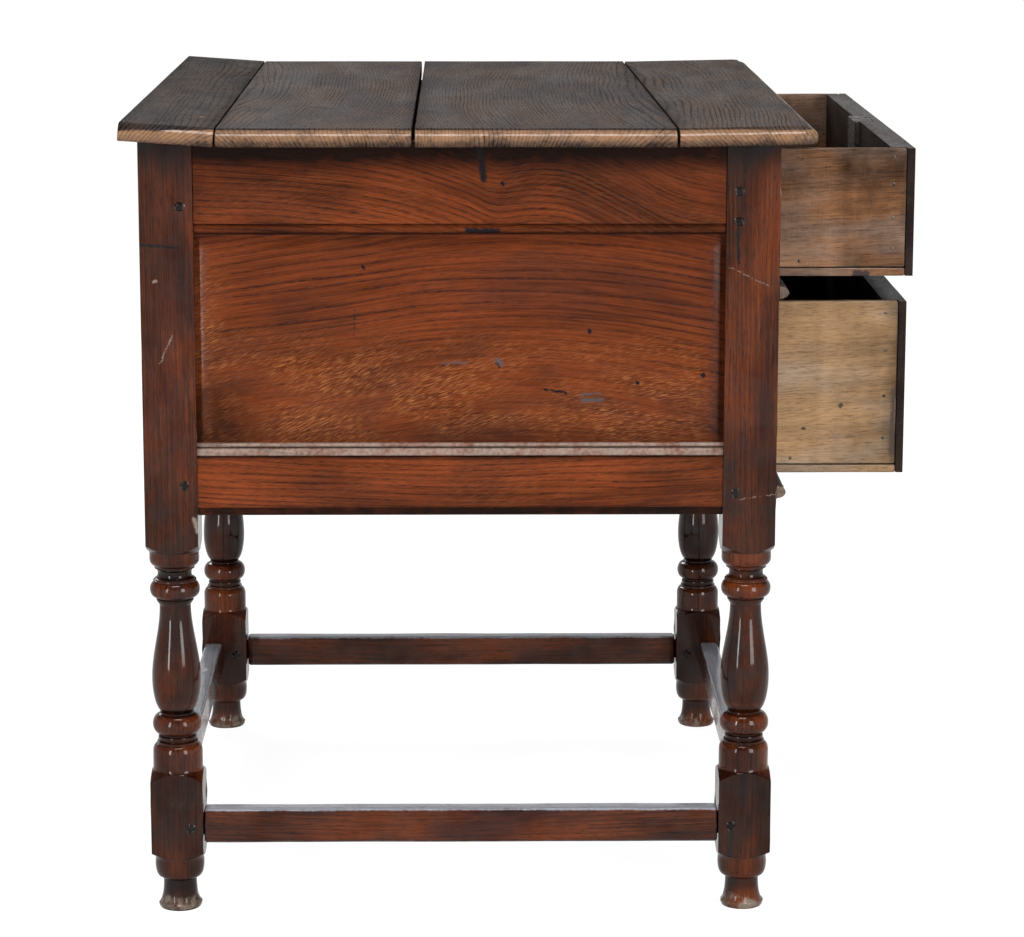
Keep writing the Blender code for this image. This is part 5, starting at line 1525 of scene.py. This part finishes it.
@dataclass(frozen=True)
class Drawer:
    """A nailed drawer: front, two sides, back and bottom.

    Attributes:
        level: whether it is the upper or the lower drawer.
        finish: the material of its sides, back and bottom.
        seed: which stretch of wood its sides are from.
        nail_shares: the heights of the nails at its front, as shares of a side's height.
        nail_inset: how far those nails are from a side's front end.
        foot_nail: where the nail through the bottom is, from a side's front end and lower edge.
    """

    level: str
    finish: OakFinish
    seed: float
    nail_shares: tuple[float, ...] = (0.16, 0.42, 0.70, 0.93)
    nail_inset: float = 0.012
    foot_nail: Flat = (0.100, 0.006)

    @property
    def body(self) -> str:
        """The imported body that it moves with."""
        return f"{self.level}_drawer"

    def build(self) -> None:
        """Make the drawer's boards and drive its nails."""
        front = PlainBoard(f"{self.body}_front", self.body, FRONT,
                           Grain(Axis.X, Axis.Y, (0.20, 0.10), 0.012, 41.0), edge=0.0012, hollow=0.0004,
                           grime=0.62)
        front.build()
        for end in End:
            self.side(end)
        grain = Grain(Axis.X, Axis.Y, (0.12, 0.10), 0.008, 44.0)
        PlainBoard(f"{self.body}_back", self.body, self.finish, grain, grime=0.74).build()
        grain = Grain(Axis.Y, Axis.Z, (0.18, 0.09), 0.010, 45.0)
        PlainBoard(f"{self.body}_bottom", self.body, self.finish, grain, grime=0.38).build()

    def side(self, end: End) -> None:
        """Make one side, and the nails that hold it to the front."""
        node = f"{self.body}_side_{end.label}"
        grain = Grain(Axis.Y, Axis.X, (0.17, 0.12), 0.009, self.seed + end.value)
        board = PlainBoard(node, self.body, self.finish, grain, edge=0.0012, hollow=0.0005)
        low, high = node_box(node)
        outer = low.x if end is End.LEFT else high.x
        bench = board.bench().cut(Axis.Z, 0.014)
        bench.tone(lambda place, worn: self.side_tone(place, worn, low, high, abs(place.x - outer) < 0.003))
        bench.lay(grain)
        bench.piece("worn_" + node, self.body, self.finish, node)
        height = high.z - low.z
        along, up = self.foot_nail
        spots = [Vector((outer, low.y + self.nail_inset, low.z + height * share))
                 for share in self.nail_shares]
        spots.append(Vector((outer, low.y + along, low.z + up)))
        Nails(self.body, f"nails_{node}", tuple(spots), Vector((float(end.value), 0.0, 0.0))).build()

    def side_tone(self, place: Vector, worn: float, low: Vector, high: Vector, outer: bool) -> Tone:
        """The wear, dirt and painted shade at a place on a side: the inner faces darken towards the bottom,
        the upper side towards its top, and each side towards its front end.
        """
        share = (place.z - low.z) / (high.z - low.z)
        if not outer:
            return (0.5 * worn, 0.85 - 0.40 * share, 0.0)
        # Darker towards the front end: dirt from handling, and painted shade; with the drawer's lighter
        # colour this paints light over the back of the side, which the leg shades.
        handling_dirt_and_shade = fade(place.y, low.y + 0.050, low.y + 0.090)
        if self.level == "upper":
            top = 0.42 * fade(share, 0.90, 0.45)
            return (0.8 * worn, 0.05 + top + 0.55 * handling_dirt_and_shade * (1.0 - top), 0.4 * fade(share, 0.35, 0.8))
        end = 0.3 * fade(place.y, low.y, low.y + 0.020)
        return (0.8 * worn, end + 0.44 * handling_dirt_and_shade, 0.2)


@dataclass(frozen=True)
class Lock:
    """The upper drawer's iron lock, its bolt and its brass escutcheon.

    Attributes:
        rivet_inset: how far the rivets are from the case's ends and its lower edge.
        rivet_drop: how far the upper rivets are under the case's top.
        rivet_radius: the size of a rivet's head.
        pin_inset: how far the pins are from the escutcheon's top and foot.
        pin_radius: the size of a pin's head.
    """

    rivet_inset: float = 0.006
    rivet_drop: float = 0.010
    rivet_radius: float = 0.0020
    pin_inset: float = 0.0030
    pin_radius: float = 0.0011

    def build(self) -> None:
        """Make the lock's pieces."""
        for node, body, finish, edge in (("lock_case", "upper_drawer", IRON, 0.0005),
                                         ("lock_bolt", "lock_bolt", IRON, 0.0004),
                                         ("escutcheon", "upper_drawer", BRASS, 0.0003)):
            MeshBench.from_node(node).soften(edge).piece("worn_" + node, body, finish, node)
        low, high = node_box("lock_case")
        inset = self.rivet_inset
        spots = [Vector((x, high.y, z)) for x in (low.x + inset, high.x - inset)
                 for z in (low.z + inset, high.z - self.rivet_drop)]
        Nails("upper_drawer", "lock_rivets", tuple(spots), Axis.Y.vector, self.rivet_radius).build()
        low, high = node_box("escutcheon")
        middle = (low + high) / 2.0
        heights = (high.z - self.pin_inset, low.z + self.pin_inset)
        pins = tuple(Vector((middle.x, low.y, height)) for height in heights)
        Nails("upper_drawer", "escutcheon_pins", pins, Vector((0.0, -1.0, 0.0)), self.pin_radius).build()


@dataclass(frozen=True)
class DropPull:
    """A brass drop handle: a domed plate, a bent pin and a pear-shaped drop.

    Attributes:
        level: the drawer that it is on.
        end: the end of the drawer that it is on.
        wire: the thickness of the drop's ring, as a radius.
        ring: the radius of the ring's middle line.
        belly: the drop's greatest radius.
        hole: the radius of the plate's hole.
    """

    level: str
    end: End
    wire: float = 0.0011
    ring: float = 0.0034
    belly: float = 0.0062
    hole: float = 0.0014

    def node(self, part: str) -> str:
        """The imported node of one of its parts."""
        return f"{self.level}_pull_{self.end.label}_{part}"

    def build(self) -> None:
        """Make the plate, the pin and the drop."""
        self.plate()
        pin = MeshBench.from_node(self.node("pin"))
        pin.piece("bent_" + self.node("pin"), f"{self.level}_drawer", BRASS, self.node("pin"))
        self.drop()

    def plate(self) -> None:
        """Make the plate, with a raised rim and a ring round the dome."""
        node = self.node("plate")
        low, high = node_box(node)
        rise, rim = high.y - low.y, (high.x - low.x) / 2.0
        profile = [(self.hole, rise), (0.0030, 0.97 * rise), (0.0052, 0.84 * rise), (0.0064, 0.70 * rise),
                   (0.0070, 0.74 * rise), (0.0078, 0.70 * rise), (0.0084, 0.56 * rise), (0.0118, 0.0015),
                   (rim - 0.0022, 0.0010), (rim - 0.0015, 0.0014), (rim - 0.0006, 0.0014), (rim, 0.0009),
                   (rim, 0.0), (self.hole, 0.0), (self.hole, rise)]
        aim = Matrix.Rotation(math.radians(90.0), 4, "X")
        middle = Vector(((low.x + high.x) / 2.0, high.y, (low.z + high.z) / 2.0))
        plate = MeshBench.turned(profile, 40).move(Matrix.Translation(middle) @ aim)
        plate.piece("domed_" + node, f"{self.level}_drawer", BRASS, node)

    def drop(self) -> None:
        """Make the drop, turned like a pear, with its ring."""
        node = self.node("drop")
        low, high = node_box(node)
        middle = (low + high) / 2.0
        eye = high.z - self.ring - self.wire
        length = eye - self.ring - low.z
        line = [(0.0, 0.0), (0.0017, 0.0), (0.0016, 0.10), (0.0026, 0.125), (0.0026, 0.15), (0.0018, 0.17)]
        line += TurnedLeg.swell((0.0018, 0.19), (self.belly, 0.68), 10)
        line += arc((0.0014, 0.68), (self.belly - 0.0014, 0.25), 0.0, 80.0, 8)[1:]
        line += [(0.0016, 0.935), (0.0019, 0.955), (0.0013, 0.985), (0.0, 1.0)]
        top = Vector((middle.x, middle.y, eye - self.ring))
        pear = MeshBench.turned([(radius, -share * length) for radius, share in line], 28)
        pear.move(Matrix.Translation(top))
        ring = MeshBench.turned(arc((self.ring, 0.0), (self.wire, self.wire), 0.0, 360.0, 10), 28)
        stand = Matrix.Rotation(math.radians(90.0), 4, "X")
        ring.move(Matrix.Translation((middle.x, middle.y, eye)) @ stand)
        pear.merge(ring)
        pear.piece("turned_" + node, f"{self.level}_{self.end.label}_drop", BRASS, node)


# Each lamp's name, place, power in watts, and width and height.
LAMPS = (
    ("key", (-2.5, 1.7, 1.0), 44.0, (0.36, 1.9)),
    ("fill", (-2.6, -1.7, 1.1), 62.0, (0.90, 1.9)),
    ("overhead", (-0.9, 0.1, 3.1), 66.0, (1.2, 1.2)),
    ("rear", (3.2, 1.4, 2.2), 60.0, (1.0, 1.0)),
)


@dataclass(frozen=True)
class Studio:
    """The pale floor, the lamps, the white surround and the camera.

    Attributes:
        camera_place: where the camera stands.
        heading: how far it is turned from +X, in radians.
        pitch: how far it looks down, in radians.
        roll: how far it is tilted to its left, in radians.
        lens: its focal length, in millimetres.
        sensor: the width of its picture, in millimetres.
        sight: how far it sees.
        floor_radius: how far the floor reaches.
        wall_height: how high the white wall round the floor is.
        floor_colour: the floor's grey.
        floor_glow: how much the floor adds where it is seen, near the table and far off, to show as white.
        glow_reach: how far from the middle of the table the near floor ends and the far floor starts.
        floor_drop: how far the floor lies under the feet.
        sides: how many sides the floor and the wall have.
        focus: the place that the lamps look at.
        ambient: how strongly the surround lights the table.
    """

    camera_place: Spot = (-3.451, 0.0633, 1.0548)
    heading: float = -0.0143
    pitch: float = 0.1969
    roll: float = 0.0012
    lens: float = 118.4
    sensor: float = 36.0
    sight: float = 200.0
    floor_radius: float = 40.0
    wall_height: float = 14.0
    floor_colour: float = 0.17
    floor_glow: Flat = (0.93, 0.97)
    glow_reach: Flat = (0.8, 2.4)
    floor_drop: float = 0.0002
    sides: int = 96
    focus: Spot = (0.0, 0.05, 0.42)
    ambient: float = 0.22

    def build(self) -> None:
        """Set up the studio."""
        self.camera()
        self.floor()
        self.wall()
        self.surround()
        for lamp in LAMPS:
            self.lamp(*lamp)
        bpy.context.scene.view_settings.view_transform = "Standard"

    def camera(self) -> None:
        """Stand the camera where the photograph was taken from."""
        data = bpy.data.cameras.new("photo_camera")
        data.lens = self.lens
        data.sensor_width = self.sensor
        data.sensor_fit = "HORIZONTAL"
        data.clip_end = self.sight
        made = bpy.data.objects.new("photo_camera", data)
        ahead = Vector((math.cos(self.pitch) * math.cos(self.heading),
                        math.cos(self.pitch) * math.sin(self.heading), -math.sin(self.pitch)))
        made.location = self.camera_place
        aim = ahead.to_track_quat("-Z", "Y") @ Quaternion((0.0, 0.0, 1.0), self.roll)
        made.rotation_euler = aim.to_euler()
        bpy.context.scene.collection.objects.link(made)
        bpy.context.scene.camera = made

    def floor(self) -> None:
        """Lay the floor, which the camera sees as nearly white but for the shadow."""
        bm = bmesh.new()
        bmesh.ops.create_circle(bm, cap_ends=True, segments=self.sides, radius=self.floor_radius)
        bmesh.ops.translate(bm, verts=bm.verts, vec=(0.0, 0.0, -self.floor_drop))
        bench = NodeBench("pale_floor")
        grey = self.floor_colour
        bench.shade({"Base Color": (grey, grey, grey, 1.0), "Roughness": 0.9, "Specular IOR Level": 0.0})
        distance = bench.vector("LENGTH", bench.object_place())
        near, far = self.floor_glow
        strength = bench.linear(bench.step(distance, *self.glow_reach), far - near, near)
        strength = bench.times(seen_rays(bench), strength)
        glow = bench.add("Emission", {"Color": WHITE, "Strength": strength})
        bench.surface(bench.add("AddShader", {0: bench.shader.outputs[0], 1: glow.outputs[0]}))
        self.show("studio_floor", bm, bench.material)

    def wall(self) -> None:
        """Close the studio all round, so that a low view also has a white background."""
        bm = bmesh.new()
        rim = bmesh.ops.create_circle(bm, segments=self.sides, radius=self.floor_radius)["verts"]
        edges = {edge for vert in rim for edge in vert.link_edges}
        raised = bmesh.ops.extrude_edge_only(bm, edges=list(edges))["geom"]
        tops = [item for item in raised if isinstance(item, bmesh.types.BMVert)]
        bmesh.ops.translate(bm, verts=tops, vec=(0.0, 0.0, self.wall_height))
        bench = NodeBench("pale_wall")
        strength = bench.linear(seen_rays(bench), 1.0 - self.ambient, self.ambient)
        bench.surface(bench.add("Emission", {"Color": WHITE, "Strength": strength}))
        self.show("studio_wall", bm, bench.material)

    @staticmethod
    def show(name: str, bm: bmesh.types.BMesh, material: bpy.types.Material) -> None:
        """Set a finished bmesh in the studio, as no part of the table."""
        mesh = bpy.data.meshes.new(name)
        bm.to_mesh(mesh)
        bm.free()
        mesh.materials.append(material)
        made = bpy.data.objects.new(name, mesh)
        bpy.context.scene.collection.objects.link(made)

    def surround(self) -> None:
        """Light the studio softly from all round."""
        world = bpy.data.worlds.new("studio_light")
        world.use_nodes = True
        bpy.context.scene.world = world
        back = world.node_tree.nodes["Background"]
        back.inputs["Color"].default_value = WHITE
        back.inputs["Strength"].default_value = self.ambient

    def lamp(self, name: str, place: Spot, power: float, size: Flat) -> None:
        """Hang a soft lamp that looks at the middle of the table.

        Args:
            name: the lamp's name.
            place: where it hangs.
            power: its power, in watts.
            size: its width and height.
        """
        data = bpy.data.lights.new(name, "AREA")
        data.shape = "RECTANGLE"
        data.size, data.size_y = size
        data.energy = power
        made = bpy.data.objects.new(name, data)
        made.location = place
        aim = Vector(self.focus) - Vector(place)
        made.rotation_euler = aim.to_track_quat("-Z", "Y").to_euler()
        bpy.context.scene.collection.objects.link(made)


def seen_rays(bench: NodeBench) -> bpy.types.NodeSocket:
    """1 for rays that the camera sees directly, in a reflection or through glass."""
    path = bench.add("LightPath", {})
    rays = path.outputs
    glossy = bench.math("ADD", rays["Is Glossy Ray"], rays["Is Transmission Ray"], clamp=True)
    return bench.math("ADD", rays["Is Camera Ray"], glossy, clamp=True)


def main() -> None:
    """Build the studio and every assembly of the table."""
    logging.basicConfig(level=logging.INFO, format="%(name)s: %(message)s")
    assemblies = [Studio(), TableTop(), Carcase(), Lock()]
    assemblies += [TurnedLeg(row, end) for row in ("front", "back") for end in End]
    assemblies += [EndFrame(end) for end in End]
    assemblies += [Drawer("upper", UPPER_DRAWER, 42.0), Drawer("lower", LOWER_DRAWER, 47.0)]
    assemblies += [DropPull(level, end) for level in ("upper", "lower") for end in End]
    for assembly in assemblies:
        assembly.build()
        LOG.info("built %s", type(assembly).__name__)


if __name__ == "__main__":
    main()
